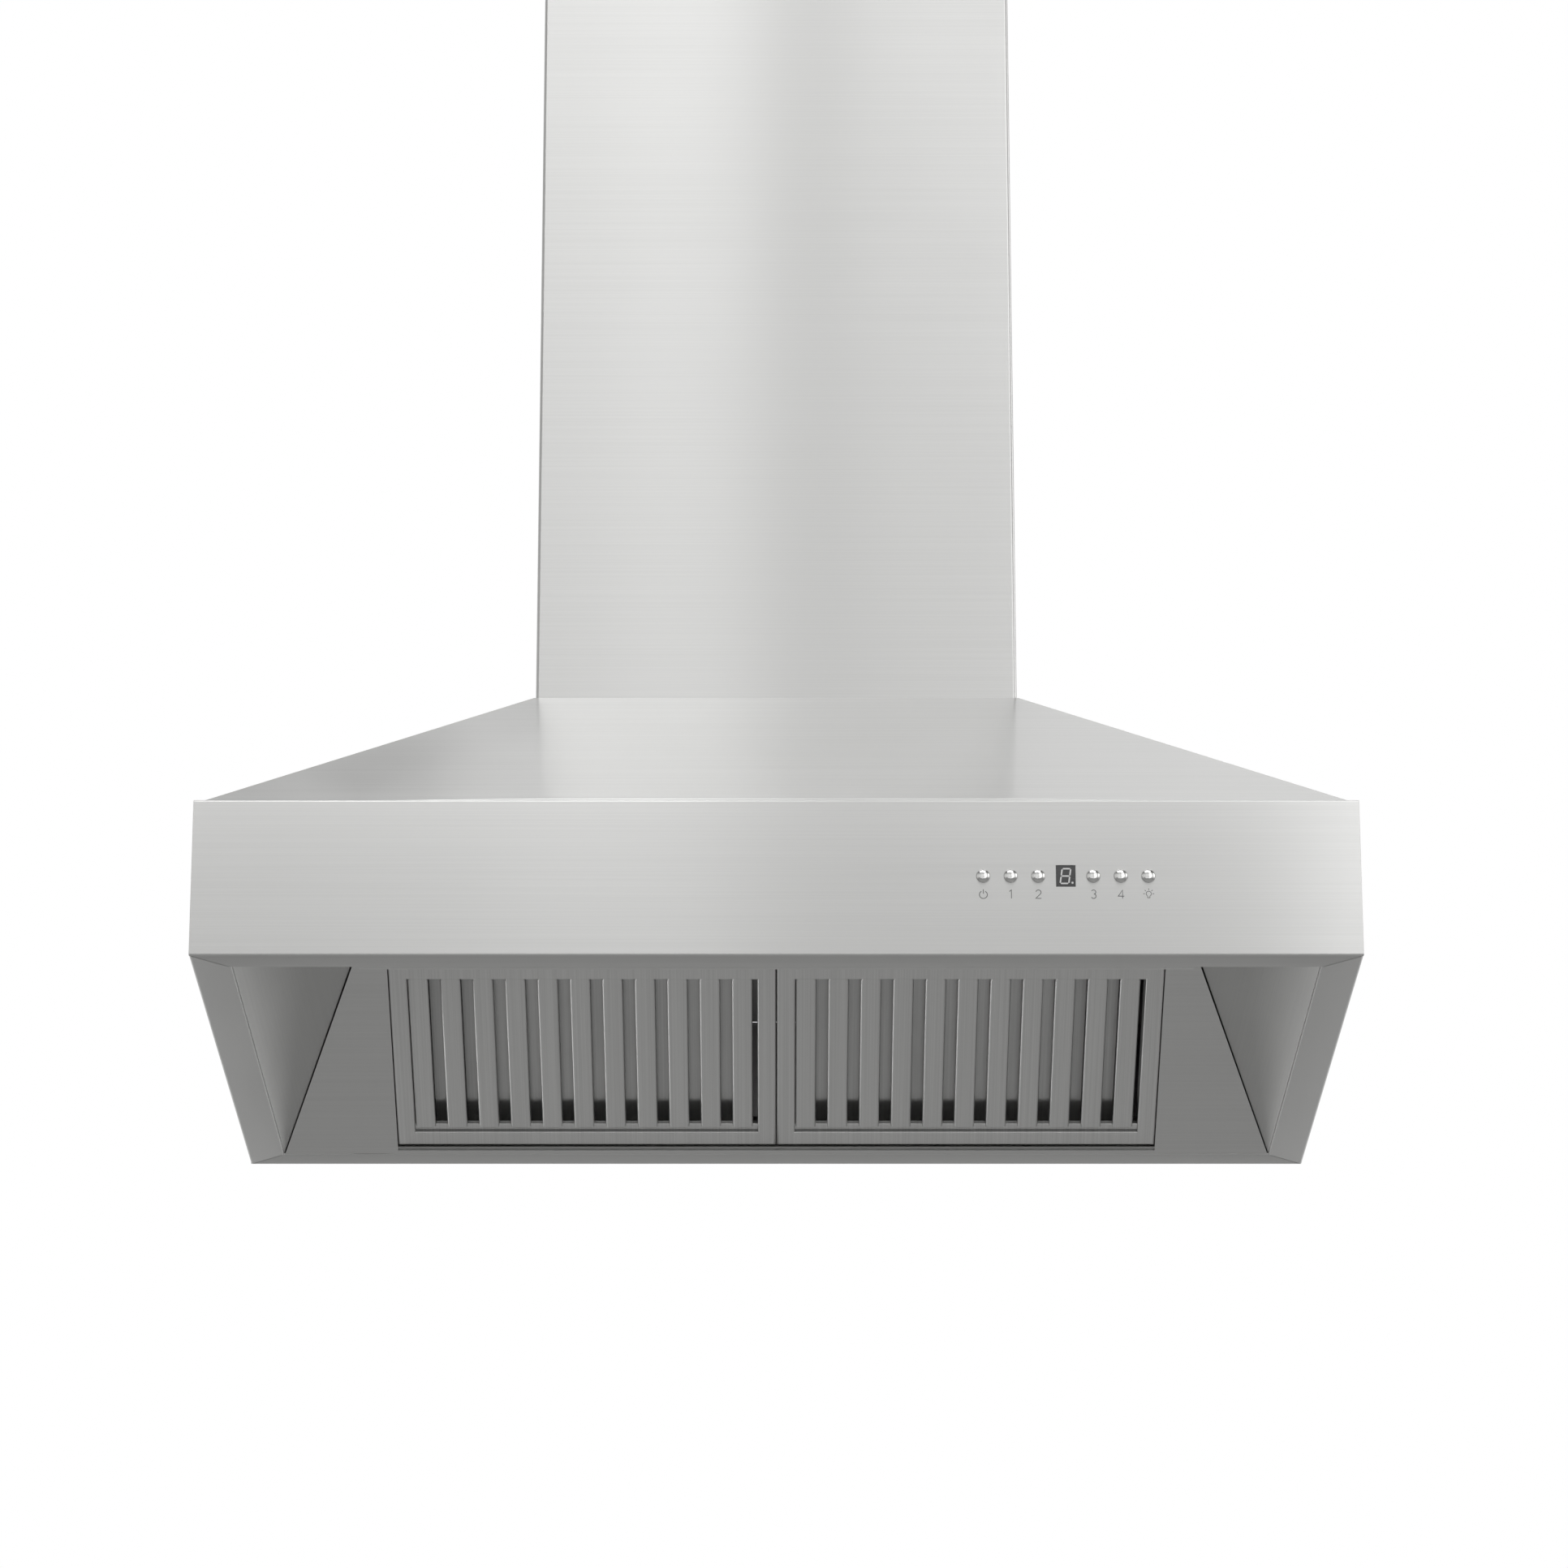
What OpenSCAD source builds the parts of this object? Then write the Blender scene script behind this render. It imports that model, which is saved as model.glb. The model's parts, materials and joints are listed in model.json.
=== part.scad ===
// Island range hood: a canopy with four baffle filters, hung from the ceiling
// on a telescopic tower that a two-part chimney covers.
// Origin: middle of the ceiling plate's upper face. +Z up, controls face -Y.

/* [Canopy] */
// Width of the canopy, left to right
hood_w = 914; // [880:1:960]
// Depth of the canopy, front to back
hood_d = 610; // [600:1:640]
// Height of the upright band round the canopy
band_h = 128; // [124:1:140]
// Height of the sloping top above the band
slope_h = 140; // [136:1:150]
// Thickness of the stainless sheet
sheet_t = 1.2; // [1:0.1:1.5]
// Width of the flange turned in under the band
flange_w = 31; // [29:1:34]
// How far the pressed wings of the slope dip at the canopy's corners
corner_drop = 3; // [1:0.5:4]

/* [Chimney] */
// Width of the lower chimney cover
chimney_w = 392; // [390:1:400]
// Depth of the lower chimney cover
chimney_d = 300; // [298:1:306]
// Height of the lower cover above the canopy
lower_cover_h = 660; // [650:1:700]
// Length of the upper cover that shows above the lower one
upper_show_h = 232; // [225:1:260]
// Length of the upper cover hidden inside the lower one
cover_lap = 180; // [150:1:200]

/* [Filters] */
// Slope of the two filter banks, in degrees
filter_tilt = 27.2; // [26:0.1:28]
// Half the width of a filter bank
bay_half_w = 327; // [325:1:328]
// Thickness of a filter
filter_t = 20; // [18:1:22]
// Front baffles in each filter
baffle_count = 11; // [10:1:11]
// Distance between neighbouring front baffles
baffle_pitch = 27.3; // [27:0.1:27.5]
// Width of a front baffle
baffle_w = 15.8; // [15:0.1:17]
// Lean of the side panels, inward for each unit of height
side_lean = 0.646; // [0.6:0.001:0.68]
// Height of the flat light panel above the rim
light_panel_z = 108; // [106:1:110]

/* [Controls] */
// Centre of the display, right of the middle of the band
display_x = 226; // [200:1:260]
// Height of the row of controls above the rim
control_z = 65; // [60:1:70]
// Distance between neighbouring controls
control_pitch = 21.5; // [20:0.5:24]
// Diameter of a button's cap
button_d = 10.9; // [10:0.1:12]
// Travel of a button
button_travel = 1.5; // [1:0.1:1.6]

/* [Blower and duct] */
// Radius of the impeller over its blades
impeller_r = 80; // [76:1:82]
// Half the width of the impeller
impeller_half_w = 85; // [80:1:86]
// Radius of the duct spigot
duct_r = 75; // [74:0.5:76]
// Distance of the spigot behind the middle
duct_y = 42; // [40:1:44]

/* [Tower and ceiling] */
// Spacing of the ceiling bolts, left to right
bolt_x = 280; // [270:1:290]
// Spacing of the ceiling bolts, front to back
bolt_y = 200; // [190:1:210]
// Radius of a ceiling bolt's hole
bolt_r = 4.5; // [4:0.5:5]
// Width of a tower angle's legs
angle_w = 25; // [22:1:26]
// Thickness of a tower angle
angle_t = 2.5; // [2:0.1:2.6]

/* [Hidden] */
$fn = 64;
canopy_h = band_h + slope_h;
rim_z = -(canopy_h + lower_cover_h + upper_show_h);
fit = 0.05;                       // radial clearance of shafts, pins and buttons
air = 0.8;                        // gap between sliding covers
bank_y = hood_d / 2 - flange_w;   // lower edge of a filter bank
side_x = hood_w / 2 - flange_w;   // lower edge of a side panel
side_angle = atan(side_lean);
bank_len = light_panel_z / sin(filter_tilt);
bay_start = 10;                   // filter opening, measured up the bank
bay_end = bank_len - 2.3;
frame_start = bay_start + 2;
frame_end = bay_end - 2.5;
frame_w = 15.7;                   // face width of a filter frame's members
filter_half = (bay_half_w - 1.4) / 2;
skin = 0.8;                       // sheet of the filters
baffle_shift = 1.3;               // the row of baffles sits a little to one side
hinge_s = frame_start + 1;        // filter pivot, up the bank and above its face
hinge_n = 3;
face_y = -hood_d / 2;             // front face of the band
deck_z = canopy_h - 6;            // underside of the deck plate
deck_t = 2;
deck_top = deck_z + deck_t;
plenum_x = 150;
plenum_y = 118;
plenum_h = 296;
plenum_top = deck_top + plenum_h;
axis_z = deck_top + 150;          // impeller axis above the rim
scroll_half_w = impeller_half_w + 10;
scroll_exit = plenum_top - sheet_t - axis_z - 1;
cut_angle = 75;                   // where the scroll starts, and the throat's left wall
throat_left = 33;
scroll_steps = 30;
inlet_r = 62;
shaft_r = 4;
motor_boss_r = 30;
box_x = -plenum_x - 36;           // outer face of the junction box
box_low = deck_top + 36;          // the electrical boxes hang level on the blower box
box_high = box_low + 80;
box_half_y = 40;
box_t = 1.2;
gland_x = box_x + 18;             // cable gland, below a cable hole in the ceiling plate
gland_y = 20;
damper_z = plenum_top + 40;
collar_h = 70;
pin_r = 2;
lower_in_x = chimney_w / 2 - sheet_t;
lower_in_y = chimney_d / 2 - sheet_t;
upper_x = lower_in_x - air;
upper_y = lower_in_y - air;
tower_x = upper_x - sheet_t - 2;     // outer faces of the lower tower angles
tower_y = upper_y - sheet_t - 2;
nested = angle_t + 0.4;              // step from the lower to the upper angles
lower_angle_h = 520;
upper_angle_h = 517;
ceiling_t = 3;
slide_up = 100;
slide_down = 70;
tower_bolt_z = [deck_top + lower_angle_h - 20, deck_top + lower_angle_h - 50];
lamp_x = [-255, -85, 85, 255];
lamp_r = 30;
button_offsets = [-3, -2, -1, 1, 2, 3];
board_y = face_y + sheet_t + 16;
harness_r = 3;
harness_points = [[160, -274, 70], [158, -262, 74], [138, -252, 88], [90, -238, 114],
    [40, -222, 142], [-20, -202, 168], [-80, -180, 192], [-130, -146, 212], [-160, -98, 226],
    [-172, -36, 236], [-172, -6, 246], [-172, 0, 262], [-172, 0, 282], [-172, 0, 304]];
harness_exit = harness_points[len(harness_points) - 1];
window_w = 15.4;                  // opening for the display's digit
window_h = 17.8;

// ---- helpers ----------------------------------------------------------------

// Places what is measured up from the rim
module hung() { translate([0, 0, rim_z]) children(); }

// A box given by its lowest and highest corners
module block(low, high) { translate(low) cube(high - low); }

// A cylinder along X or Y, from the point at
module bar_x(at, length, r) { translate(at) rotate([0, 90, 0]) cylinder(h = length, r = r); }
module bar_y(at, length, r) { translate(at) rotate([-90, 0, 0]) cylinder(h = length, r = r); }

// A filter bank's own frame: X across, Y up the slope, Z out of its upper face
module bank(turn) {
    hung() rotate([0, 0, turn]) translate([0, -bank_y, 0]) rotate([filter_tilt, 0, 0]) children();
}

// The four corners of the tower
module at_corners() {
    for (sx = [0, 1], sy = [0, 1]) mirror([sx, 0, 0]) mirror([0, sy, 0]) children();
}

// A point on a Catmull-Rom curve through four points
function curve(a, b, c, d, t) = 0.5 * (2 * b + (c - a) * t + (2 * a - 5 * b + 4 * c - d) * t * t
    + (3 * b - a - 3 * c + d) * t * t * t);
function unit(v) = v / norm(v);

// ---- ceiling side -----------------------------------------------------------

module ceiling_plate() {
    tab_h = 25;
    color("silver") difference() {
        union() {
            block([-tower_x, -tower_y, -ceiling_t], [tower_x, tower_y, 0]);
            for (s = [-1, 1]) {
                x = s * (tower_x - 1);
                block([x - 1, -80, -tab_h], [x + 1, 80, -ceiling_t + 0.1]);
            }
        }
        translate([0, duct_y, -ceiling_t - 1]) cylinder(h = ceiling_t + 2, r = duct_r + 5);
        for (x = [-1, 1], y = [-1, 1])
            translate([x * bolt_x / 2, y * bolt_y / 2, -ceiling_t - 1])
                cylinder(h = ceiling_t + 2, r = bolt_r);
        for (s = [-1, 1], y = [-60, 60])
            bar_x([s * tower_x - 5, y, -15], 10, 2);
        translate([gland_x, gland_y, -ceiling_t - 1]) cylinder(h = ceiling_t + 2, r = 10);
    }
}

module angle_bar(x, y, low, high) {
    difference() {
        block([x - angle_w, y - angle_w, low], [x, y, high]);
        block([x - angle_w - 1, y - angle_w - 1, low - 1], [x - angle_t, y - angle_t, high + 1]);
    }
}

module upper_tower_angles() {
    x = tower_x - nested;
    y = tower_y - nested;
    slot_top = rim_z + tower_bolt_z[0] + slide_up + 4;
    slot_low = rim_z + tower_bolt_z[1] - slide_down - 4;
    color("lightgray") at_corners() difference() {
        angle_bar(x, y, -ceiling_t - upper_angle_h, -ceiling_t);
        block([x - 5, y - 16, slot_low], [x + 1, y - 9, slot_top]);
    }
}

// A chimney cover open at the back, its front corners folded to a small radius
module cover_front(x, y, low, high) {
    fold = 3;
    translate([0, 0, low]) linear_extrude(high - low) difference() {
        union() {
            translate([-x, -y + fold]) square([2 * x, 2 * y - fold]);
            translate([-x + fold, -y]) square([2 * (x - fold), 2 * fold]);
            for (s = [-1, 1]) translate([s * (x - fold), -y + fold]) circle(r = fold);
        }
        translate([-x + sheet_t, -y + sheet_t]) square([2 * (x - sheet_t), 2 * y]);
    }
}

module upper_chimney_cover() {
    color("silver") difference() {
        cover_front(upper_x, upper_y, -upper_show_h - cover_lap, 0);
        for (s = [-1, 1], y = [-60, 60]) bar_x([s * upper_x - 5, y, -15], 10, 2.2);
    }
}

// Flat panel that closes a cover's open back
module back_panel(x, y, low, high) {
    gap = 0.3;
    block([-x + sheet_t + gap, y - sheet_t, low], [x - sheet_t - gap, y, high]);
}

module upper_chimney_back() {
    low = -upper_show_h - cover_lap;
    color("silver") {
        back_panel(upper_x, upper_y, low, 0);
        for (s = [-1, 1]) {
            inner = s * (upper_x - sheet_t - 0.3 - sheet_t / 2);
            block([inner - sheet_t / 2, upper_y - 14, low],
                [inner + sheet_t / 2, upper_y - sheet_t + 0.1, 0]);
        }
    }
}

// A pan-head screw lying along X, its head outside the face at x
module side_screw(x, y, z, length) {
    s = sign(x);
    rotate([0, 0, s > 0 ? 0 : 180]) {
        bar_x([abs(x) - length, s * y, z], length, 1.9);
        difference() {
            bar_x([abs(x), s * y, z], 1.6, 3.8);
            block([abs(x) + 0.9, s * y - 2.6, z - 0.5], [abs(x) + 2, s * y + 2.6, z + 0.5]);
            block([abs(x) + 0.9, s * y - 0.5, z - 2.6], [abs(x) + 2, s * y + 0.5, z + 2.6]);
        }
    }
}

module upper_cover_screws() {
    color("dimgray") for (s = [-1, 1], y = [-60, 60]) side_screw(s * upper_x, y, -15, 6);
}

// ---- tower and chimney of the hood ------------------------------------------

module lower_tower_angles() {
    color("lightgray") hung() at_corners() difference() {
        angle_bar(tower_x, tower_y, deck_top, deck_top + lower_angle_h);
        for (z = tower_bolt_z) bar_x([tower_x - 6, tower_y - nested - 12.5, z], 8, 3 + fit);
    }
}

module tower_bolts() {
    inner = tower_x - nested - angle_t;
    y = tower_y - nested - 12.5;
    color("dimgray") hung() at_corners() for (z = tower_bolt_z) {
        bar_x([inner - 0.4, y, z], tower_x - inner + 0.2, 3);
        translate([inner - 4.4, y, z]) rotate([0, 90, 0]) cylinder(h = 4, r = 5.8, $fn = 6);
    }
}

module lower_chimney_cover() {
    color("silver") hung() difference() {
        cover_front(chimney_w / 2, chimney_d / 2, deck_top, canopy_h + lower_cover_h);
        for (s = [-1, 1], y = [-100, 100])
            bar_x([s * chimney_w / 2 - 5, y, canopy_h + 18], 10, 2.2);
    }
}

// Flat, without the upper one's side returns, because the upper cover slides behind it
module lower_chimney_back() {
    color("silver") hung()
        back_panel(chimney_w / 2, chimney_d / 2, deck_top, canopy_h + lower_cover_h);
}

module lower_cover_screws() {
    color("dimgray") hung() for (s = [-1, 1], y = [-100, 100])
        side_screw(s * chimney_w / 2, y, canopy_h + 18, 4);
}

// Brackets that the lower cover's screws bite into stand on the deck
module deck_plate() {
    x = chimney_w / 2 + 4;
    y = chimney_d / 2 + 3;
    color("lightgray") hung() difference() {
        union() {
            block([-x, -y, deck_z], [x, y, deck_top]);
            for (s = [-1, 1], t = [-100, 100]) {
                inner = s * (lower_in_x - 1);
                block([inner - 0.8, t - 9, deck_top - 0.1], [inner + 0.8, t + 9, deck_top + 32]);
            }
        }
        block([-plenum_x + 10, -plenum_y + 12, deck_z - 1], [plenum_x - 10, plenum_y - 12, deck_top + 1]);
        for (s = [-1, 1], t = [-100, 100])
            bar_x([s * lower_in_x - 5, t, canopy_h + 18], 10, 1.95);
        translate([harness_exit.x, 0, deck_z - 1]) cylinder(h = deck_t + 2, r = 6);
    }
}

// ---- canopy -----------------------------------------------------------------

// Four sheet panels that meet along the hips, a hair's seam between them. The long ones
// have a flat middle and a pressed wing on either side of it.
module canopy_top() {
    x = hood_w / 2 - sheet_t - 0.1;
    y = hood_d / 2 - sheet_t - 0.1;
    u = chimney_w / 2 + 1;
    v = chimney_d / 2 + 1;
    crease = u - 10;
    low = band_h - corner_drop;
    drop = 1.6;
    outer = [[-x, -y, low], [-crease, -y, band_h], [crease, -y, band_h], [x, -y, low],
        [x, y, low], [crease, y, band_h], [-crease, y, band_h], [-x, y, low],
        [-u, -v, canopy_h], [u, -v, canopy_h], [u, v, canopy_h], [-u, v, canopy_h]];
    points = concat(outer, [for (p = outer) p - [0, 0, drop]]);
    seam = 0.1;
    long = [for (p = points) p - [sign(p.x) * seam, 0, 0]];
    short = [for (p = points) p - [0, sign(p.y) * seam, 0]];
    color("silver") hung() {
        slope_panel(long, [0, 1, 2, 3, 9, 8], [[8, 9, 2, 1], [8, 1, 0], [9, 3, 2]]);
        slope_panel(short, [3, 4, 10, 9], [[9, 10, 4, 3]]);
        slope_panel(long, [4, 5, 6, 7, 11, 10], [[10, 11, 6, 5], [10, 5, 4], [11, 7, 6]]);
        slope_panel(short, [7, 0, 8, 11], [[11, 8, 0, 7]]);
    }
}

// One panel: its upper faces, the same faces below them, and its edge round the border
module slope_panel(points, border, upper) {
    half = len(points) / 2;
    n = len(border);
    under = [for (f = upper) [for (i = [len(f) - 1:-1:0]) f[i] + half]];
    edge = [for (i = [0:n - 1]) [border[i], border[(i + 1) % n],
        border[(i + 1) % n] + half, border[i] + half]];
    used = [for (i = [0:2 * half - 1]) if (len(search(i % half, border)) > 0) i];
    polyhedron(points = [for (i = used) points[i]],
        faces = [for (f = concat(upper, under, edge)) [for (i = f) search(i, used)[0]]]);
}

// Upright sheet and the flange turned in under it, for the two long faces
module long_fascia(turn) {
    x = hood_w / 2;
    y = hood_d / 2;
    hung() rotate([0, 0, turn]) {
        block([-x, -y, 0], [x, -y + sheet_t, band_h]);
        linear_extrude(sheet_t)
            polygon([[-x, -y], [x, -y], [side_x + 0.2, -bank_y], [-side_x - 0.2, -bank_y]]);
        block([-side_x + 1, -bank_y - sheet_t, 0], [side_x - 1, -bank_y, 2]);
    }
}

module short_fascia(side) {
    x = hood_w / 2;
    y = hood_d / 2;
    gap = 0.05;
    end = y - sheet_t - gap;
    mitre = 0.35;
    hung() mirror([side < 0 ? 1 : 0, 0, 0]) {
        block([x - sheet_t, -end, 0], [x, end, band_h]);
        linear_extrude(sheet_t) polygon([[x, -end], [x, end],
            [x - sheet_t, end], [side_x, bank_y - mitre],
            [side_x, -bank_y + mitre], [x - sheet_t, -end]]);
    }
}

module front_fascia() {
    color("silver") difference() {
        long_fascia(0);
        hung() for (i = button_offsets)
            bar_y([display_x + i * control_pitch, face_y - 1, control_z], 4, button_d / 2 + fit);
        hung() block([display_x - window_w / 2, face_y - 1, control_z - window_h / 2],
            [display_x + window_w / 2, face_y + 4, control_z + window_h / 2]);
    }
}

module rear_fascia() { color("silver") long_fascia(180); }
module left_fascia() { color("silver") short_fascia(-1); }
module right_fascia() { color("silver") short_fascia(1); }

// ---- liner ------------------------------------------------------------------

module liner_bank(turn) {
    foot = 1.5;
    half_low = side_x - side_lean * foot * sin(filter_tilt) - 0.8;
    half_high = side_x - side_lean * light_panel_z - 0.8;
    bank(turn) linear_extrude(sheet_t) difference() {
        polygon([[-half_low, foot], [half_low, foot],
            [half_high, bank_len - 0.8], [-half_high, bank_len - 0.8]]);
        translate([-bay_half_w, bay_start]) square([2 * bay_half_w, bay_end - bay_start]);
    }
}

module liner_side(side) {
    top = light_panel_z / cos(side_angle);
    foot = 1.5;
    half_low = bank_y - foot - 1.2;
    half_high = bank_y - light_panel_z / tan(filter_tilt) - 1.2;
    hung() mirror([side < 0 ? 1 : 0, 0, 0]) translate([side_x, 0, 0])
        rotate([0, -side_angle, 0]) rotate([90, 0, 90]) linear_extrude(sheet_t)
            polygon([[-half_low, foot], [half_low, foot], [half_high, top - 0.8],
                [-half_high, top - 0.8]]);
}

module liner_left() { color("darkgray") liner_side(-1); }
module liner_right() { color("darkgray") liner_side(1); }
module liner_bank_front() { color("darkgray") liner_bank(0); }
module liner_bank_rear() { color("darkgray") liner_bank(180); }

module light_panel() {
    x = side_x - side_lean * light_panel_z;
    y = bank_y - light_panel_z / tan(filter_tilt);
    color("silver") hung() difference() {
        union() {
            block([-x, -y, light_panel_z], [x, y, light_panel_z + sheet_t]);
            for (s = [-1, 1]) {
                t = s * (y - 22);
                block([-x + 20, t - 0.6, light_panel_z + 0.5], [x - 20, t + 0.6, light_panel_z + 14]);
            }
        }
        for (lx = lamp_x) translate([lx, 0, light_panel_z - 1]) cylinder(h = 20, r = lamp_r + 0.2);
    }
}

// Shallow gutters that catch the grease below each bank's lower edge
module grease_troughs() {
    color("silver") for (turn = [0, 180]) bank(turn) {
        block([-bay_half_w, 2.6, -0.7], [bay_half_w, 9, -0.05]);
        block([-bay_half_w, 8.3, -3.2], [bay_half_w, 9, -0.6]);
    }
}

// Sprung ball catches that hold each filter's upper edge
module filter_catches() {
    n = 12;
    color("dimgray") for (turn = [0, 180]) bank(turn) for (x = [-245, -82, 82, 245]) {
        block([x - 7, bank_len + 3.5, 2], [x + 7, bank_len + 8, n + 6]);
        bar_y([x, frame_end + 4.5, n], bank_len + 12 - frame_end, 4);
        translate([x, frame_end + 4.2, n]) sphere(r = 3);
    }
}

module lamp_bezels() {
    color("silver") hung() for (lx = lamp_x) translate([lx, 0, light_panel_z]) difference() {
        union() {
            translate([0, 0, -2]) cylinder(h = 1.9, r1 = lamp_r + 3.5, r2 = lamp_r + 5);
            translate([0, 0, -0.2]) cylinder(h = 14, r = lamp_r);
        }
        translate([0, 0, -3]) cylinder(h = 20, r = lamp_r - 2);
    }
}

module lamp_lenses() {
    color("white") hung() for (lx = lamp_x)
        translate([lx, 0, light_panel_z - 0.5]) cylinder(h = 3, r = lamp_r - 2.1);
}

module lamp_boards() {
    color("gold") hung() for (lx = lamp_x) translate([lx, 0, light_panel_z + 8]) {
        cylinder(h = 1.6, r = lamp_r - 2.1);
        for (a = [0:60:300]) rotate([0, 0, a]) block([12, -2, -1], [16, 2, 0.1]);
    }
}

// ---- blower -----------------------------------------------------------------

module plenum_box() {
    t = sheet_t;
    color("lightgray") hung() difference() {
        block([-plenum_x, -plenum_y, deck_top], [plenum_x, plenum_y, plenum_top]);
        block([-plenum_x + t, -plenum_y + t, deck_top - 1], [plenum_x - t, plenum_y - t, plenum_top - t]);
        translate([0, duct_y, plenum_top - 3]) cylinder(h = 5, r = duct_r - sheet_t);
    }
}

// Scroll outline in Y and Z round the impeller axis, moved outward by grow,
// from the cut-off round to the top of the outer throat wall
function scroll_r(t) = impeller_r + 4 + t * (plenum_y - 6 - impeller_r - 4);
function scroll_line(grow) = concat(
    [for (i = [0:scroll_steps]) let (t = i / scroll_steps, a = cut_angle + t * (360 - cut_angle),
        r = scroll_r(t) + grow) [r * cos(a), r * sin(a)]],
    [[scroll_r(1) + grow, scroll_exit]]);

module scroll_wall() {
    inner = scroll_line(0);
    outer = scroll_line(sheet_t);
    last = len(inner) - 1;
    foot = inner[0] + [0, sheet_t / 2];
    wide = [1.6, 0];
    color("lightgray") hung() translate([-scroll_half_w, 0, axis_z]) rotate([90, 0, 90])
        linear_extrude(2 * scroll_half_w) {
            polygon(concat(outer, [for (i = [last:-1:0]) inner[i]]));
            polygon([foot, foot - wide, [-throat_left, scroll_exit] - wide,
                [-throat_left, scroll_exit]]);
        }
}

module scroll_sides() {
    color("lightgray") hung() for (s = [-1, 1]) translate([0, 0, axis_z])
        mirror([s < 0 ? 1 : 0, 0, 0]) translate([scroll_half_w, 0, 0]) {
            rotate([90, 0, 90]) linear_extrude(sheet_t) difference() {
                polygon(concat([[-throat_left, scroll_exit]], scroll_line(sheet_t)));
                circle(r = inlet_r);
            }
            rotate([0, 90, 0]) rotate_extrude() translate([inlet_r + 4, 0]) difference() {
                circle(r = 4);
                circle(r = 2.8);
                translate([-5, -5]) square([10, 5]);
            }
        }
}

module motor() {
    near = 18;
    color("dimgray") hung() translate([0, 0, axis_z]) difference() {
        union() {
            bar_x([near, 0, 0], 70, 42);
            bar_x([near - 2, 0, 0], 3, 14);
            bar_x([near + 69, 0, 0], 16, motor_boss_r);
        }
        bar_x([near - 4, 0, 0], 48, shaft_r + fit);
        for (a = [0:30:330]) rotate([a, 0, 0]) block([near + 14, -2, 39], [near + 58, 2, 44]);
    }
}

// Spider that carries the motor across the right-hand inlet
module motor_bracket() {
    x = scroll_half_w + sheet_t + 4.2;
    reach = inlet_r + 14;
    color("gray") hung() translate([0, 0, axis_z]) {
        difference() {
            union() {
                bar_x([x, 0, 0], 2, 38);
                for (a = [30, 150, 270]) rotate([a, 0, 0]) {
                    block([x, -8, 30], [x + 2, 8, reach]);
                    block([scroll_half_w + sheet_t, -8, reach - 4], [x + 2, 8, reach]);
                }
            }
            bar_x([x - 2, 0, 0], 6, motor_boss_r + fit);
        }
    }
}

// Forward-curved blade between the impeller's inner and outer radius
module blade() {
    thick = 1;
    lean = 10;
    polygon([[inlet_r + 2, 0], [inlet_r + 8, 1.5], [inlet_r + 13, 4], [impeller_r - 0.5, lean],
        [impeller_r - 0.5 - thick, lean + 0.6], [inlet_r + 12.4, 5.2], [inlet_r + 7.6, 2.6],
        [inlet_r + 1.6, 1.1]]);
}

module impeller() {
    blades = 36;
    ring_w = 2;
    color("lightgray") hung() translate([0, 0, axis_z]) {
        rotate([90, 0, 90]) translate([0, 0, -impeller_half_w + 0.5])
            linear_extrude(2 * impeller_half_w - 1)
                for (i = [0:blades - 1]) rotate(i * 360 / blades) blade();
        difference() {
            union() {
                bar_x([-1, 0, 0], 2, impeller_r);
                bar_x([-15, 0, 0], 28, 12);
            }
            bar_x([-20, 0, 0], 40, shaft_r);
        }
        for (x = [-impeller_half_w, impeller_half_w - ring_w]) difference() {
            bar_x([x, 0, 0], ring_w, impeller_r);
            bar_x([x - 1, 0, 0], ring_w + 2, inlet_r + 8);
        }
    }
}

module motor_shaft() {
    color("silver") hung() translate([0, 0, axis_z]) bar_x([-19, 0, 0], 78, shaft_r);
}

// ---- outlet and damper ------------------------------------------------------

module outlet_collar() {
    inner = duct_r - sheet_t;
    color("lightgray") hung() translate([0, duct_y, 0]) difference() {
        union() {
            translate([0, 0, plenum_top]) cylinder(h = collar_h, r = duct_r);
            translate([0, 0, plenum_top]) cylinder(h = sheet_t, r = duct_r + 0.8);
            block([-duct_r - 8, -duct_r - 8, plenum_top], [duct_r + 8, duct_r, plenum_top + sheet_t]);
        }
        translate([0, 0, plenum_top - 1]) cylinder(h = 38, r = inner);
        translate([0, 0, plenum_top + 36]) cylinder(h = 4, r = inner - 3);
        translate([0, 0, damper_z - 0.8]) cylinder(h = 40, r = inner);
        bar_x([-duct_r - 2, 0, damper_z], 2 * duct_r + 4, pin_r + fit);
    }
}

module damper_pin() {
    color("silver") hung() bar_x([-duct_r + 0.3, duct_y, damper_z], 2 * duct_r - 0.6, pin_r);
}

// Half disc on side -1 (front) or 1 (rear), with its knuckles round the pin
module damper_flap(side, knuckles) {
    r = duct_r - sheet_t - 1.4;
    knuckle_r = 3.6;
    hung() translate([0, duct_y, damper_z]) difference() {
        union() {
            intersection() {
                translate([0, 0, -0.5]) cylinder(h = 1, r = r);
                translate([0, side * (r / 2 + 4.6), 0]) cube([2 * r, r, 2], center = true);
            }
            for (x = knuckles) {
                bar_x([x, 0, 0], 18, knuckle_r);
                block([x, side > 0 ? 0 : -6, -0.5], [x + 18, side > 0 ? 6 : 0, 0.5]);
            }
        }
        bar_x([-r - 1, 0, 0], 2 * r + 2, pin_r + fit);
    }
}

module damper_flap_front() { color("silver") damper_flap(-1, [-58, 12]); }
module damper_flap_rear() { color("silver") damper_flap(1, [-32, 40]); }

// ---- filters ----------------------------------------------------------------

// The four filters are alike: each has its own frame, centred across, on its side of the bank
module filter_place(turn, side) {
    along = turn == 0 ? side : -side;
    bank(turn) translate([along * (filter_half + 0.7), 0, 0]) children();
}

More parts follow.
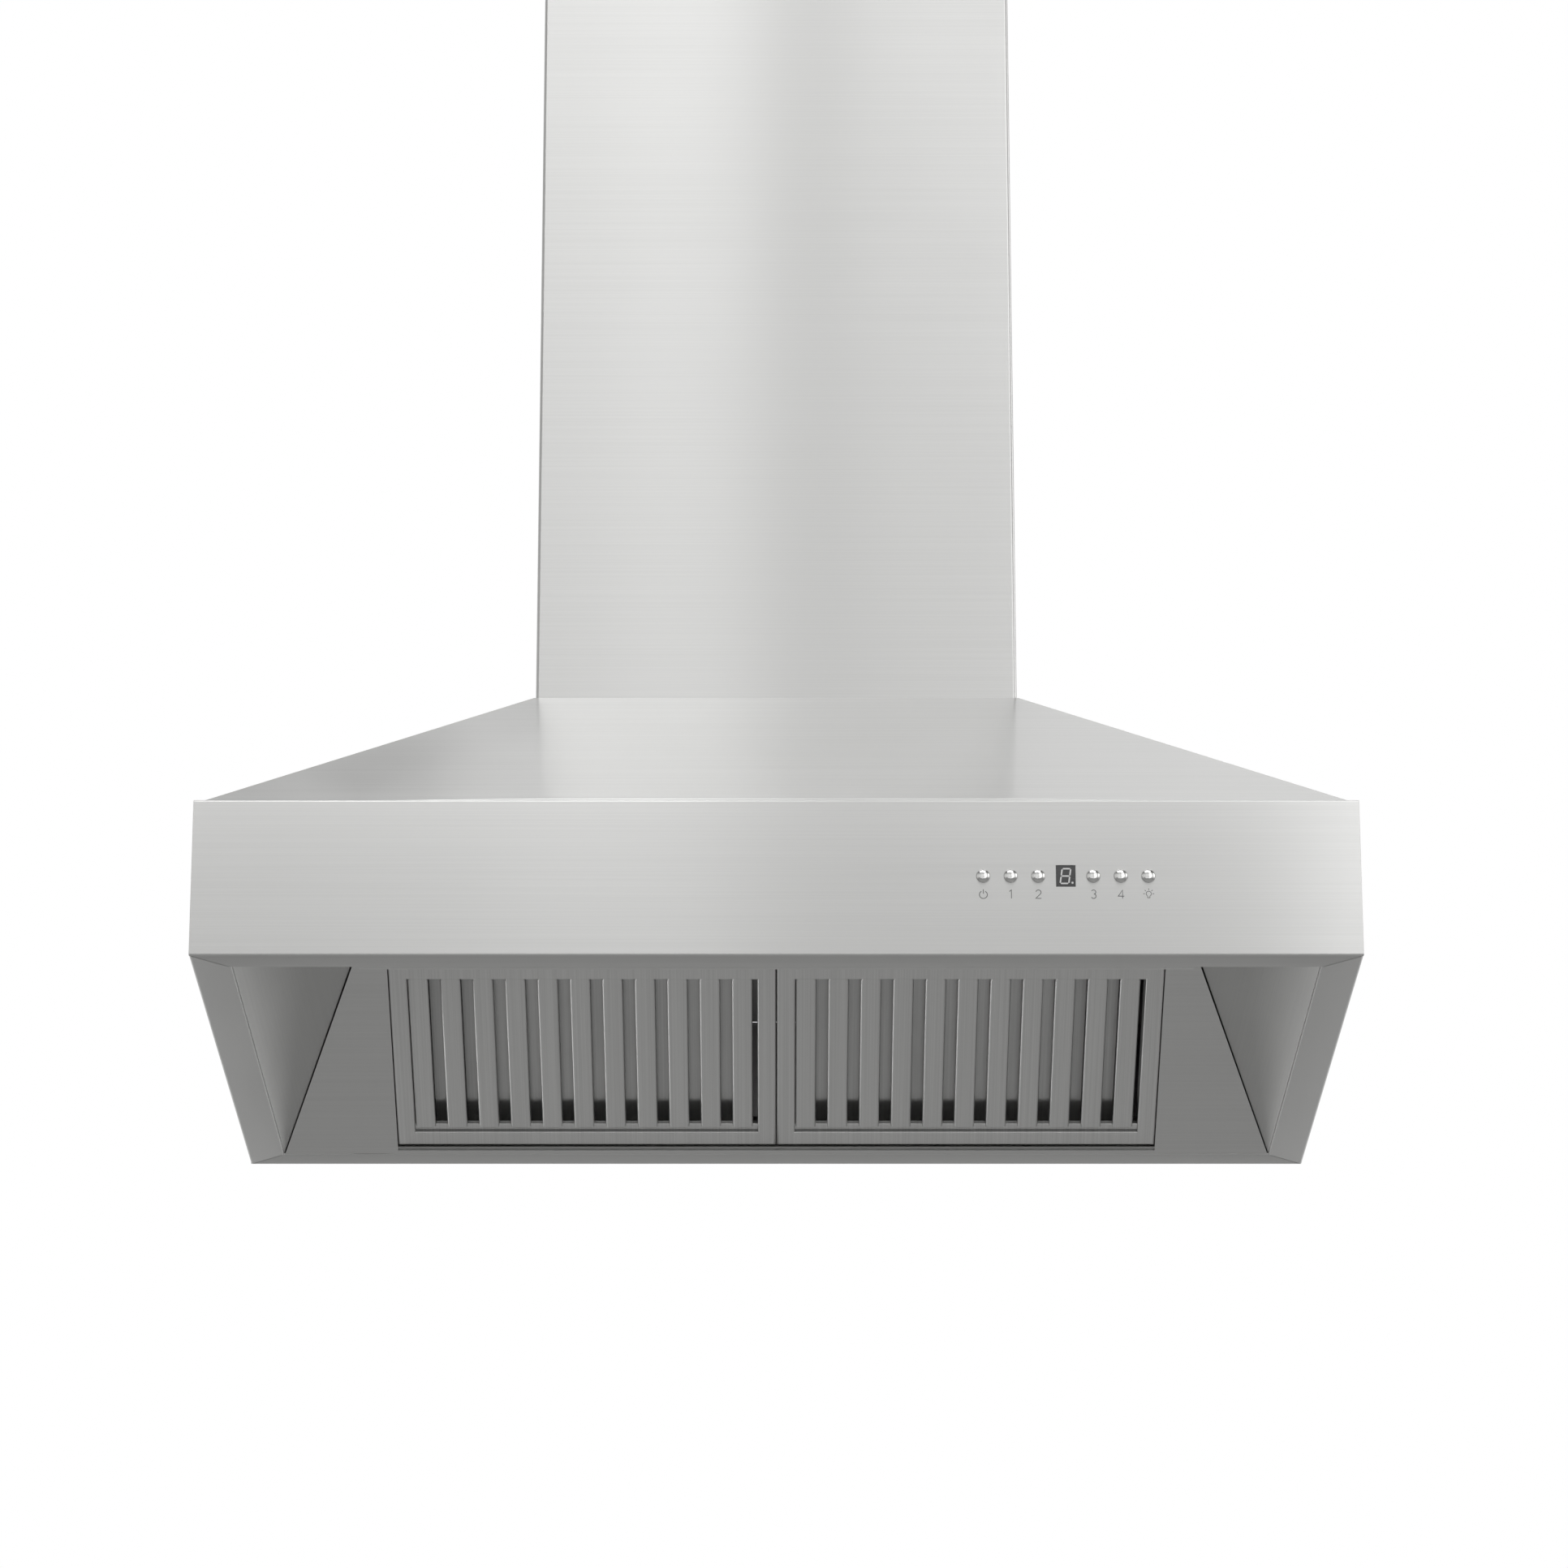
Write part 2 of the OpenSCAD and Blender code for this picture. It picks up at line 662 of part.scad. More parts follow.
// Channel frame whose lower edge is rolled into the bead that it tilts on
module filter_frame(turn, side) {
    half = filter_half;
    filter_place(turn, side) {
        difference() {
            block([-half, frame_start, 0], [half, frame_end, filter_t]);
            block([-half + frame_w, frame_start + frame_w, -1],
                [half - frame_w, frame_end - frame_w, filter_t + 1]);
            block([-half + skin, frame_start + skin, skin],
                [half - skin, frame_end - skin, filter_t - skin]);
        }
        bar_x([-half, hinge_s, hinge_n], 2 * half, hinge_n);
    }
}

// A channel along the slope: web at height z, lips of the given length
module baffle(x, width, z, lip) {
    low = hinge_s + hinge_n + 0.8;
    high = frame_end - skin - 0.6;
    up = lip > 0;
    block([x - width / 2, low, z], [x + width / 2, high, z + skin]);
    for (s = [-1, 1]) {
        edge = x + s * (width / 2 - skin / 2);
        block([edge - skin / 2, low, up ? z : z + skin + lip],
            [edge + skin / 2, high, up ? z + lip : z + skin]);
    }
}

module filter_baffles(turn, side) {
    front_z = skin + 0.1;
    back_z = filter_t - 2 * skin - 0.1;
    first = -(baffle_count - 1) * baffle_pitch / 2 + baffle_shift;
    back_w = baffle_pitch - baffle_w + 11;
    lip = 10.5;
    filter_place(turn, side) {
        for (i = [0:baffle_count - 1])
            baffle(first + i * baffle_pitch, baffle_w, front_z, lip);
        for (i = [0:baffle_count - 2])
            baffle(first + (i + 0.5) * baffle_pitch, back_w, back_z, -lip);
    }
}

module filter_frame_front_left() { color("silver") filter_frame(0, -1); }
module filter_frame_front_right() { color("silver") filter_frame(0, 1); }
module filter_frame_rear_left() { color("silver") filter_frame(180, -1); }
module filter_frame_rear_right() { color("silver") filter_frame(180, 1); }
module filter_baffles_front_left() { color("darkgray") filter_baffles(0, -1); }
module filter_baffles_front_right() { color("darkgray") filter_baffles(0, 1); }
module filter_baffles_rear_left() { color("darkgray") filter_baffles(180, -1); }
module filter_baffles_rear_right() { color("darkgray") filter_baffles(180, 1); }

// ---- controls ---------------------------------------------------------------

// Domed cap through the band, collar behind it and a stem to the switch
module button(place) {
    x = display_x + button_offsets[place] * control_pitch;
    r = button_d / 2;
    proud = 3.2;
    dome = 9;
    inside = face_y + sheet_t;
    color("gainsboro") hung() {
        intersection() {
            bar_y([x, face_y - proud, control_z], proud + sheet_t + 0.4, r);
            translate([x, face_y - proud + dome, control_z]) sphere(r = dome);
        }
        bar_y([x, inside + 0.3, control_z], 1.2, r + 2);
        bar_y([x, inside + 0.4, control_z], board_y - inside - 0.4 - 4 - button_travel - 0.2, 2.4);
    }
}

module button_power() { button(0); }
module button_1() { button(1); }
module button_2() { button(2); }
module button_3() { button(3); }
module button_4() { button(4); }
module button_lamp() { button(5); }

// Circuit board with a push switch behind each button
module control_board() {
    half = 82;
    color("darkgreen") hung() {
        block([display_x - half, board_y, control_z - 20], [display_x + half, board_y + 1.6, control_z + 20]);
        for (i = button_offsets) {
            x = display_x + i * control_pitch;
            block([x - 3, board_y - 3, control_z - 3], [x + 3, board_y + 0.1, control_z + 3]);
            bar_y([x, board_y - 4, control_z], 1.1, 1.7);
        }
        block([display_x - 70, board_y + 1.5, control_z - 14], [display_x - 46, board_y + 8, control_z - 4]);
    }
}

// Digit module that fills the window in the band
module display_module() {
    color("black") hung() {
        block([display_x - window_w / 2 + 0.1, face_y + 0.4, control_z - window_h / 2 + 0.1],
            [display_x + window_w / 2 - 0.1, board_y - 0.1, control_z + window_h / 2 - 0.1]);
    }
}

// Closed tray behind the band that carries the board
module control_box() {
    half = 92;
    y0 = face_y + sheet_t + 0.1;
    depth = 34;
    color("lightgray") hung() difference() {
        block([display_x - half, y0, control_z - 27], [display_x + half, y0 + depth, control_z + 27]);
        block([display_x - half + 1, y0 - 1, control_z - 26],
            [display_x + half - 1, y0 + depth - 1, control_z + 26]);
        translate([harness_points[0].x, y0 + depth, harness_points[0].z])
            cube([10, 10, 10], center = true);
    }
    color("lightgray") hung() for (s = [-1, 1], z = [-14, 14]) {
        x = display_x + s * 76;
        bar_y([x, board_y + 1.65, control_z + z], y0 + depth - 0.9 - board_y - 1.65, 3);
    }
}

// ---- wiring and electrical boxes --------------------------------------------

module junction_box() {
    color("lightgray") hung() difference() {
        block([box_x + box_t, -box_half_y, box_low], [-plenum_x, box_half_y, box_high]);
        block([box_x, -box_half_y + box_t, box_low + box_t],
            [-plenum_x - box_t, box_half_y - box_t, box_high - box_t]);
        translate([harness_exit.x, 0, box_low - 1]) cylinder(h = 4, r = 5);
        translate([gland_x, gland_y, box_high - 3]) cylinder(h = 4, r = 8);
    }
}

module junction_cover() {
    color("silver") hung() difference() {
        block([box_x - 0.3, -box_half_y - 1, box_low - 1],
            [box_x + 1.1, box_half_y + 1, box_high + 1]);
        for (y = [-33, 33], z = [box_low + 6, box_high - 6]) bar_x([box_x - 1, y, z], 3, 1.6);
    }
}

module cable_gland() {
    color("dimgray") hung() translate([gland_x, gland_y, box_high]) difference() {
        union() {
            translate([0, 0, -6]) cylinder(h = 12, r = 7.9);
            translate([0, 0, 0.1]) cylinder(h = 5, r = 11, $fn = 6);
            translate([0, 0, -8]) cylinder(h = 4, r = 10);
            translate([0, 0, 5]) cylinder(h = 7, r = 8.5);
        }
        translate([0, 0, -10]) cylinder(h = 30, r = 5);
    }
}

module led_driver() {
    color("white") hung() {
        block([plenum_x, -50, box_low], [plenum_x + 24, 50, box_low + 32]);
        for (y = [-58, 50]) block([plenum_x, y, box_low], [plenum_x + 2, y + 8, box_low + 32]);
    }
}

module motor_capacitor() {
    can_h = 62;
    color("white") hung() translate([plenum_x, 0, box_low + 45]) {
        translate([17, 0, 0]) cylinder(h = can_h, r = 15);
        block([0, -10, 5], [5, 10, can_h - 7]);
        for (y = [-5, 5]) block([15, y - 3, can_h - 1], [16, y + 3, can_h + 8]);
    }
}

// Cable tied along the underside of the slope, from the control box to the junction box
module wiring_harness() {
    sides = 8;
    steps = 4;
    p = harness_points;
    last = len(p) - 1;
    line = [for (i = [0:last - 1], k = [0:steps - 1])
        curve(p[max(i - 1, 0)], p[i], p[i + 1], p[min(i + 2, last)], k / steps)];
    path = concat(line, [p[last]]);
    n = len(path);
    rings = [for (i = [0:n - 1])
        let (t = unit(path[min(i + 1, n - 1)] - path[max(i - 1, 0)]),
            u = unit(cross(t, [0, 1, 0.3])), w = cross(t, u))
        for (k = [0:sides - 1]) let (a = 360 * k / sides)
            path[i] + harness_r * (cos(a) * u + sin(a) * w)];
    walls = [for (i = [0:n - 2], k = [0:sides - 1]) let (a = i * sides + k,
        b = i * sides + (k + 1) % sides) [a, a + sides, b + sides, b]];
    caps = [[for (k = [0:sides - 1]) k], [for (k = [sides - 1:-1:0]) (n - 1) * sides + k]];
    color("black") hung() polyhedron(points = rings, faces = concat(walls, caps));
}

// ---- nodes ------------------------------------------------------------------

ceiling_plate();
upper_tower_angles();
upper_chimney_cover();
upper_chimney_back();
upper_cover_screws();
lower_tower_angles();
tower_bolts();
lower_chimney_cover();
lower_chimney_back();
lower_cover_screws();
canopy_top();
front_fascia();
rear_fascia();
left_fascia();
right_fascia();
deck_plate();
plenum_box();
scroll_wall();
scroll_sides();
motor();
motor_bracket();
outlet_collar();
damper_pin();
liner_left();
liner_right();
liner_bank_front();
liner_bank_rear();
light_panel();
grease_troughs();
filter_catches();
lamp_bezels();
lamp_lenses();
lamp_boards();
control_board();
display_module();
control_box();
junction_box();
junction_cover();
cable_gland();
led_driver();
motor_capacitor();
wiring_harness();
impeller();
motor_shaft();
damper_flap_front();
damper_flap_rear();
button_power();
button_1();
button_2();
button_3();
button_4();
button_lamp();
filter_frame_front_left();
filter_frame_front_right();
filter_frame_rear_left();
filter_frame_rear_right();
filter_baffles_front_left();
filter_baffles_front_right();
filter_baffles_rear_left();
filter_baffles_rear_right();
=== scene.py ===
"""Looks of the island range hood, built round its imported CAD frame."""
import json
import math

import bmesh
import bpy
from mathutils import Matrix, Vector


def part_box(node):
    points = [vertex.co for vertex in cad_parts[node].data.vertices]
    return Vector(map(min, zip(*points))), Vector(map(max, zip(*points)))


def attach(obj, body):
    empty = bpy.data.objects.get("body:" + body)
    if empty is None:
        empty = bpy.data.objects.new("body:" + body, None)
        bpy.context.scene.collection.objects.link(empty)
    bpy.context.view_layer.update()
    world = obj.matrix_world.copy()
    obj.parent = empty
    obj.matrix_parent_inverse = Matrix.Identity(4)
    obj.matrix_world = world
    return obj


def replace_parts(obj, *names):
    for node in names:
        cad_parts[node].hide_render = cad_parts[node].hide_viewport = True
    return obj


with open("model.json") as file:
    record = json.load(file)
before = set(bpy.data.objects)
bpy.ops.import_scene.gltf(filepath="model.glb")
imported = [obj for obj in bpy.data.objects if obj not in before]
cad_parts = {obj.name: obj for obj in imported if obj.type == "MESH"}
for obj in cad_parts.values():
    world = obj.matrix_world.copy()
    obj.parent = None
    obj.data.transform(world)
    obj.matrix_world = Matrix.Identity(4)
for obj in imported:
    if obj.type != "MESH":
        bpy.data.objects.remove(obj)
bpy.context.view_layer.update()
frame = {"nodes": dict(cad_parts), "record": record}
nodes = frame["nodes"]

MM = 0.001

# ---- places and sizes, most of them taken from the frame ---------------------------

band_low, band_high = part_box("front_fascia")
RIM_Z = band_low.z
BAND_TOP = band_high.z
HALF_W = band_high.x
FACE_Y = band_low.y
HALF_D = -FACE_Y
BANK_Y = -band_high.y                    # inner edge of the rim flange, front and back
CHIMNEY_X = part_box("lower_chimney_cover")[1].x
CHIMNEY_Y = -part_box("lower_chimney_cover")[0].y
SHEET = 1.2 * MM                         # thickness of the bands and covers
TILT = math.radians(27.2)                # rise of the filter banks
FILTER_NODES = ("front_left", "front_right", "rear_left", "rear_right")
BUTTONS = ("button_power", "button_1", "button_2", "button_3", "button_4", "button_lamp")
ROUND_STEPS = 48                         # sides of a turned piece or a round hole


# ---- small helpers ----------------------------------------------------------------

def new_object(name, mesh_data, material, body="hood", replaced=()):
    """Links a mesh as a named piece that rides on a CAD body."""
    piece = bpy.data.objects.new(name, mesh_data)
    bpy.context.scene.collection.objects.link(piece)
    piece.data.materials.append(material)
    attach(piece, body)
    if replaced:
        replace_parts(piece, *replaced)
    return piece


def mesh_from(name, verts, faces, smooth=None):
    """A mesh with outward normals; folds below the smooth angle are shaded round."""
    mesh = bpy.data.meshes.new(name)
    mesh.from_pydata([tuple(v) for v in verts], [], faces)
    tidy = bmesh.new()
    tidy.from_mesh(mesh)
    bmesh.ops.remove_doubles(tidy, verts=tidy.verts, dist=1e-6)
    bmesh.ops.dissolve_degenerate(tidy, edges=tidy.edges, dist=1e-7)
    bmesh.ops.recalc_face_normals(tidy, faces=tidy.faces)
    tidy.to_mesh(mesh)
    tidy.free()
    if smooth:
        for polygon in mesh.polygons:
            polygon.use_smooth = True
        mesh.set_sharp_from_angle(angle=math.radians(smooth))
    return mesh


def add_bevel(piece, width, segments, angle):
    """Rounds the folds sharper than the angle."""
    bevel = piece.modifiers.new("fold", "BEVEL")
    bevel.width = width
    bevel.segments = segments
    bevel.limit_method = "ANGLE"
    bevel.angle_limit = math.radians(angle)


def joined(parts):
    """Several (points, faces) shapes as one."""
    verts, faces = [], []
    for part_verts, part_faces in parts:
        base = len(verts)
        verts += part_verts
        faces += [tuple(i + base for i in f) for f in part_faces]
    return verts, faces


def placed(part, matrix):
    """The same shape with its points carried by a matrix."""
    verts, faces = part
    return [matrix @ Vector(v) for v in verts], faces


def round_points(centre, radius, angles):
    """Points at angles round a centre."""
    return [(centre[0] + radius * math.cos(a), centre[1] + radius * math.sin(a)) for a in angles]


def arc(centre, radius, start, end, steps):
    """Points on an arc, start and end in degrees."""
    return round_points(centre, radius, [math.radians(start + (end - start) * i / steps)
                                         for i in range(steps + 1)])


def circle(centre, radius, steps=ROUND_STEPS):
    """Points all round a circle."""
    return round_points(centre, radius, [2 * math.pi * k / steps for k in range(steps)])


def rectangle(left, low, right, high):
    """The corners of a rectangle."""
    return [(left, low), (right, low), (right, high), (left, high)]


def lathe(profile):
    """Points and faces of a solid turned round Z, its (radius, height) points from axis to axis."""
    steps = ROUND_STEPS
    verts = [(x, y, z) for r, z in profile for x, y in circle((0, 0), r)]
    faces = []
    for i in range(len(profile) - 1):
        for k in range(steps):
            j = (k + 1) % steps
            faces.append((i * steps + k, i * steps + j, (i + 1) * steps + j, (i + 1) * steps + k))
    return verts, faces


def swept(profile, ends):
    """A closed profile swept straight: ends(p) gives a profile point's place at both ends."""
    count = len(profile)
    verts = [ends(p)[0] for p in profile] + [ends(p)[1] for p in profile]
    faces = [tuple(range(count)), tuple(range(count, 2 * count))]
    faces += [(i, (i + 1) % count, (i + 1) % count + count, i + count) for i in range(count)]
    return verts, faces


def prism(outline, low, high):
    """A closed outline in X and Y, raised from low to high."""
    return swept(outline, lambda p: [(p[0], p[1], low), (p[0], p[1], high)])


def along_y(outline, front, back):
    """A closed outline in X and Z, swept along Y from front to back."""
    return swept(outline, lambda p: [(p[0], front, p[1]), (p[0], back, p[1])])


def mitred_ring(profile, corners):
    """A closed profile swept round a rectangle: corners(p) gives its places at the four corners."""
    count = len(profile)
    verts = [place for k in range(4) for place in (corners(p)[k] for p in profile)]
    faces = []
    for k in range(4):
        a, b = k * count, (k + 1) % 4 * count
        faces += [(a + i, a + (i + 1) % count, b + (i + 1) % count, b + i) for i in range(count)]
    return verts, faces


def offset_path(path, distance, sharpest=0.3):
    """An open path moved to its left, mitred at its bends; sharpest limits how far a mitre runs."""
    line = [Vector(p) for p in path]
    moved = []
    for i, here in enumerate(line):
        a = (here - line[i - 1]).normalized() if i > 0 else (line[1] - here).normalized()
        b = (line[i + 1] - here).normalized() if i < len(line) - 1 else a
        left = Vector((-a.y, a.x))
        side = (left + Vector((-b.y, b.x))).normalized()
        moved.append(here + side * (distance / max(side.dot(left), sharpest)))
    return moved


def sheet_outline(path, thick):
    """The closed outline of a bent sheet whose outer face follows a path, the sheet on its left."""
    return list(path) + [tuple(p) for p in reversed(offset_path(path, thick))]


# ---- materials ----------------------------------------------------------------------

NOISE_LOW, NOISE_HIGH = 0.3, 0.7         # nearly all of a noise's values lie between these


def shader_tree(name):
    """A new material, its node tree and its Principled shader."""
    material = bpy.data.materials.new(name)
    material.use_nodes = True
    tree = material.node_tree
    return material, tree, tree.nodes["Principled BSDF"]


def stretched_noise(tree, scale, detail=2.0):
    """Noise over the piece's own coordinates, with a scale for each axis, as a value."""
    place = tree.nodes.new("ShaderNodeTexCoord")
    mapping = tree.nodes.new("ShaderNodeMapping")
    mapping.inputs["Scale"].default_value = scale
    noise = tree.nodes.new("ShaderNodeTexNoise")
    noise.inputs["Scale"].default_value = 1.0
    noise.inputs["Detail"].default_value = detail
    tree.links.new(place.outputs["Object"], mapping.inputs["Vector"])
    tree.links.new(mapping.outputs["Vector"], noise.inputs["Vector"])
    return noise.outputs["Fac"]


def ramp(tree, value, low, high, at=(NOISE_LOW, NOISE_HIGH)):
    """Two colours mixed by a value."""
    node = tree.nodes.new("ShaderNodeValToRGB")
    node.color_ramp.elements[0].position = at[0]
    node.color_ramp.elements[1].position = at[1]
    node.color_ramp.elements[0].color = (*low, 1)
    node.color_ramp.elements[1].color = (*high, 1)
    tree.links.new(value, node.inputs["Fac"])
    return node.outputs["Color"]


def spread(tree, value, low, high):
    """A noise's value spread between low and high."""
    node = tree.nodes.new("ShaderNodeMapRange")
    node.inputs["From Min"].default_value = NOISE_LOW
    node.inputs["From Max"].default_value = NOISE_HIGH
    node.inputs["To Min"].default_value = low
    node.inputs["To Max"].default_value = high
    tree.links.new(value, node.inputs["Value"])
    return node.outputs["Result"]


def bump(tree, shader, height, strength, distance):
    """Bump on the shader from a height value, on top of any bump it already has."""
    node = tree.nodes.new("ShaderNodeBump")
    node.inputs["Strength"].default_value = strength
    node.inputs["Distance"].default_value = distance
    tree.links.new(height, node.inputs["Height"])
    normal = shader.inputs["Normal"]
    if normal.is_linked:
        tree.links.new(normal.links[0].from_socket, node.inputs["Normal"])
    tree.links.new(node.outputs["Normal"], normal)


def grey(level):
    """A neutral colour."""
    return (level, level, level * 0.99)


# for each grain, the scales of its lines and the axis that its direction is square to
GRAINS = {"x": ((3, 40, 900), (0, 0.02, 1)), "y": ((40, 3, 900), (0.02, 0, 1)),
          "slope": ((900, 3, 3), (1, 0, 0))}
SMUDGE = 0.018                           # how far smudges change the roughness


def brushed(name, tone, rough, grain="x", contrast=0.02, stretch=1.0, metal=1.0):
    """Satin steel. The grain runs level round upright and sloping faces, and along X or Y on flat
    ones, or, as slope, straight up the filter banks. Fine lines, faint smudges, uneven sheet."""
    material, tree, shader = shader_tree(name)
    shader.inputs["Metallic"].default_value = metal
    scale, axis = GRAINS[grain]
    lines = stretched_noise(tree, scale, detail=1.0)
    colour = ramp(tree, lines, grey(tone * (1 - contrast)), grey(tone * (1 + contrast)))
    tree.links.new(colour, shader.inputs["Base Color"])
    smudges = stretched_noise(tree, (7, 7, 7), detail=3.0)
    tree.links.new(spread(tree, smudges, rough - SMUDGE, rough + SMUDGE),
                   shader.inputs["Roughness"])
    uneven = stretched_noise(tree, (1.6, 1.6, 0.8), detail=0.0)
    bump(tree, shader, uneven, 1.0, 0.4 * MM)
    bump(tree, shader, lines, 0.02, 0.2 * MM)
    # the grain's direction is square to the surface's normal and to the axis
    shape = tree.nodes.new("ShaderNodeNewGeometry")
    cross = tree.nodes.new("ShaderNodeVectorMath")
    cross.operation = "CROSS_PRODUCT"
    cross.inputs[1].default_value = axis
    tree.links.new(shape.outputs["True Normal"], cross.inputs[0])
    tree.links.new(cross.outputs["Vector"], shader.inputs["Tangent"])
    shader.inputs["Anisotropic"].default_value = stretch
    shader.inputs["Anisotropic Rotation"].default_value = 0.25
    return material


def galvanised(name):
    """Zinc-coated sheet with its patchwork of crystals."""
    material, tree, shader = shader_tree(name)
    shader.inputs["Metallic"].default_value = 0.9
    place = tree.nodes.new("ShaderNodeTexCoord")
    cells = tree.nodes.new("ShaderNodeTexVoronoi")
    cells.inputs["Scale"].default_value = 90
    tree.links.new(place.outputs["Object"], cells.inputs["Vector"])
    cloud = stretched_noise(tree, (30, 30, 30), detail=4.0)
    shade = tree.nodes.new("ShaderNodeSeparateColor")
    tree.links.new(cells.outputs["Color"], shade.inputs["Color"])
    tree.links.new(ramp(tree, shade.outputs["Red"], (0.42, 0.44, 0.46), (0.62, 0.64, 0.66), (0, 1)),
                   shader.inputs["Base Color"])
    tree.links.new(spread(tree, cloud, 0.32, 0.5), shader.inputs["Roughness"])
    bump(tree, shader, shade.outputs["Red"], 0.1, 0.3 * MM)
    return material


def turned(name, tone, rough):
    """Machined metal with a fine even grain."""
    material, tree, shader = shader_tree(name)
    shader.inputs["Metallic"].default_value = 1.0
    fine = stretched_noise(tree, (700, 700, 700))
    tree.links.new(ramp(tree, fine, grey(tone * 0.94), grey(tone * 1.04)),
                   shader.inputs["Base Color"])
    tree.links.new(spread(tree, fine, rough * 0.85, rough * 1.2), shader.inputs["Roughness"])
    bump(tree, shader, fine, 0.05, 0.1 * MM)
    return material


def moulded(name, low, high, rough, metallic=0.0, grain=600, bump_strength=0.15):
    """Plastic or paint with a fine grain and slightly uneven colour."""
    material, tree, shader = shader_tree(name)
    shader.inputs["Metallic"].default_value = metallic
    fine = stretched_noise(tree, (grain, grain, grain))
    cloud = stretched_noise(tree, (20, 20, 20), detail=3.0)
    tree.links.new(ramp(tree, cloud, low, high), shader.inputs["Base Color"])
    tree.links.new(spread(tree, fine, rough * 0.85, rough * 1.15), shader.inputs["Roughness"])
    bump(tree, shader, fine, bump_strength, 0.2 * MM)
    return material


def circuit_board(name):
    """Green solder mask with faint copper tracks."""
    material, tree, shader = shader_tree(name)
    place = tree.nodes.new("ShaderNodeTexCoord")
    tracks = tree.nodes.new("ShaderNodeTexBrick")
    tracks.inputs["Scale"].default_value = 60
    tracks.inputs["Color1"].default_value = (0.02, 0.16, 0.06, 1)
    tracks.inputs["Color2"].default_value = (0.03, 0.20, 0.08, 1)
    tracks.inputs["Mortar"].default_value = (0.08, 0.30, 0.12, 1)
    tree.links.new(place.outputs["Object"], tracks.inputs["Vector"])
    tree.links.new(tracks.outputs["Color"], shader.inputs["Base Color"])
    shader.inputs["Roughness"].default_value = 0.35
    bump(tree, shader, tracks.outputs["Fac"], 0.2, 0.2 * MM)
    return material


def lamp_glass(name):
    """Frosted lens, faintly lit from behind."""
    material, tree, shader = shader_tree(name)
    frost = stretched_noise(tree, (500, 500, 500))
    tree.links.new(ramp(tree, frost, (0.82, 0.82, 0.80), (0.92, 0.92, 0.90)),
                   shader.inputs["Base Color"])
    shader.inputs["Transmission Weight"].default_value = 0.35
    shader.inputs["Roughness"].default_value = 0.35
    shader.inputs["Emission Color"].default_value = (1, 0.97, 0.92, 1)
    shader.inputs["Emission Strength"].default_value = 0.15
    bump(tree, shader, frost, 0.2, 0.2 * MM)
    return material


STEEL = brushed("brushed_stainless", 0.62, 0.30)
STEEL_SIDE = brushed("brushed_stainless_side", 0.62, 0.30, "y")
LINER = brushed("brushed_liner", 0.60, 0.33, stretch=0.8)
# the side liners' copy of the liner steel: grain along Y, and a lighter tone (0.67 against 0.60) that
# is painted light the slanted side panels catch
LINER_SIDE_PAINTED_LIGHT = brushed("brushed_liner_side_painted_light", 0.67, 0.33, "y", stretch=0.8)
BAFFLE = brushed("brushed_baffle", 0.62, 0.31, "slope", contrast=0.05, stretch=0.8, metal=0.8)
ZINC_SHEET = galvanised("galvanised_sheet")
ZINC = turned("zinc_plate", 0.55, 0.28)
POLISHED = turned("turned_button", 0.72, 0.16)
MOTOR_PAINT = moulded("motor_paint", (0.015, 0.015, 0.018), (0.03, 0.03, 0.034), 0.4,
                      metallic=0.2)
BLACK_PLASTIC = moulded("black_plastic", (0.012, 0.012, 0.012), (0.022, 0.022, 0.022), 0.5)
WHITE_PLASTIC = moulded("white_plastic", (0.72, 0.72, 0.70), (0.80, 0.80, 0.78), 0.4)
WINDOW = moulded("display_window", (0.05, 0.05, 0.052), (0.065, 0.065, 0.067), 0.25,
                 grain=900, bump_strength=0.03)
SEGMENT = moulded("display_segment", (0.60, 0.60, 0.60), (0.68, 0.68, 0.68), 0.5)
PRINT = moulded("printed_mark", (0.11, 0.11, 0.11), (0.15, 0.15, 0.15), 0.6)
BOARD = circuit_board("circuit_board")
LENS = lamp_glass("lamp_lens")

SLOT_MATERIALS = {
    "stainless": STEEL, "liner_steel": LINER, "baffle_steel": BAFFLE, "galvanised": ZINC_SHEET,
    "fastener": ZINC, "polished": POLISHED, "motor_paint": MOTOR_PAINT,
    "black_plastic": BLACK_PLASTIC, "white_plastic": WHITE_PLASTIC, "board_green": BOARD,
    "lamp_lens": LENS, "display_black": WINDOW}


def dress_cad_nodes():
    """Every carried-over CAD node takes its slot's material."""
    slot_of = {part["node"]: part["material_slot"] for part in frame["record"]["subparts"]}
    for name, node in nodes.items():
        node.data.materials.clear()
        node.data.materials.append(SLOT_MATERIALS[slot_of[name]])
    # the side liners take the lighter copy of the liner steel, whose extra brightness is painted light
    for name in ("liner_left", "liner_right"):
        nodes[name].data.materials[0] = LINER_SIDE_PAINTED_LIGHT


dress_cad_nodes()


# ---- canopy -----------------------------------------------------------------------------

RIM_PLACE = Matrix.Translation((0, 0, RIM_Z))
BAND_H = BAND_TOP - RIM_Z
FOLD = 2.0 * MM                          # outer radius of the band's folds
LAP = 3.0 * MM                           # how far the band's top folds in under the slope
RIM_FOLD, RIM_EDGE = 1.4 * MM, 2 * MM    # the rim's upturned edge: its radius and its height
BUTT = SHEET * 1.05                      # the long bands' sheet, which the short ones stop at
SHARP_FOLD = 60                          # degrees; bevels leave softer folds alone


def band_profile():
    """The band's sheet as (depth, height): folded in at the top and turned in at the rim."""
    flange = HALF_D - BANK_Y
    path = [(LAP, BAND_H)] + arc((FOLD, BAND_H - FOLD), FOLD, 90, 180, 6)
    path += arc((FOLD, FOLD), FOLD, 180, 270, 6)
    path += arc((flange - RIM_FOLD, RIM_FOLD), RIM_FOLD, 270, 360, 5) + [(flange, RIM_EDGE)]
    return sheet_outline(path, SHEET)


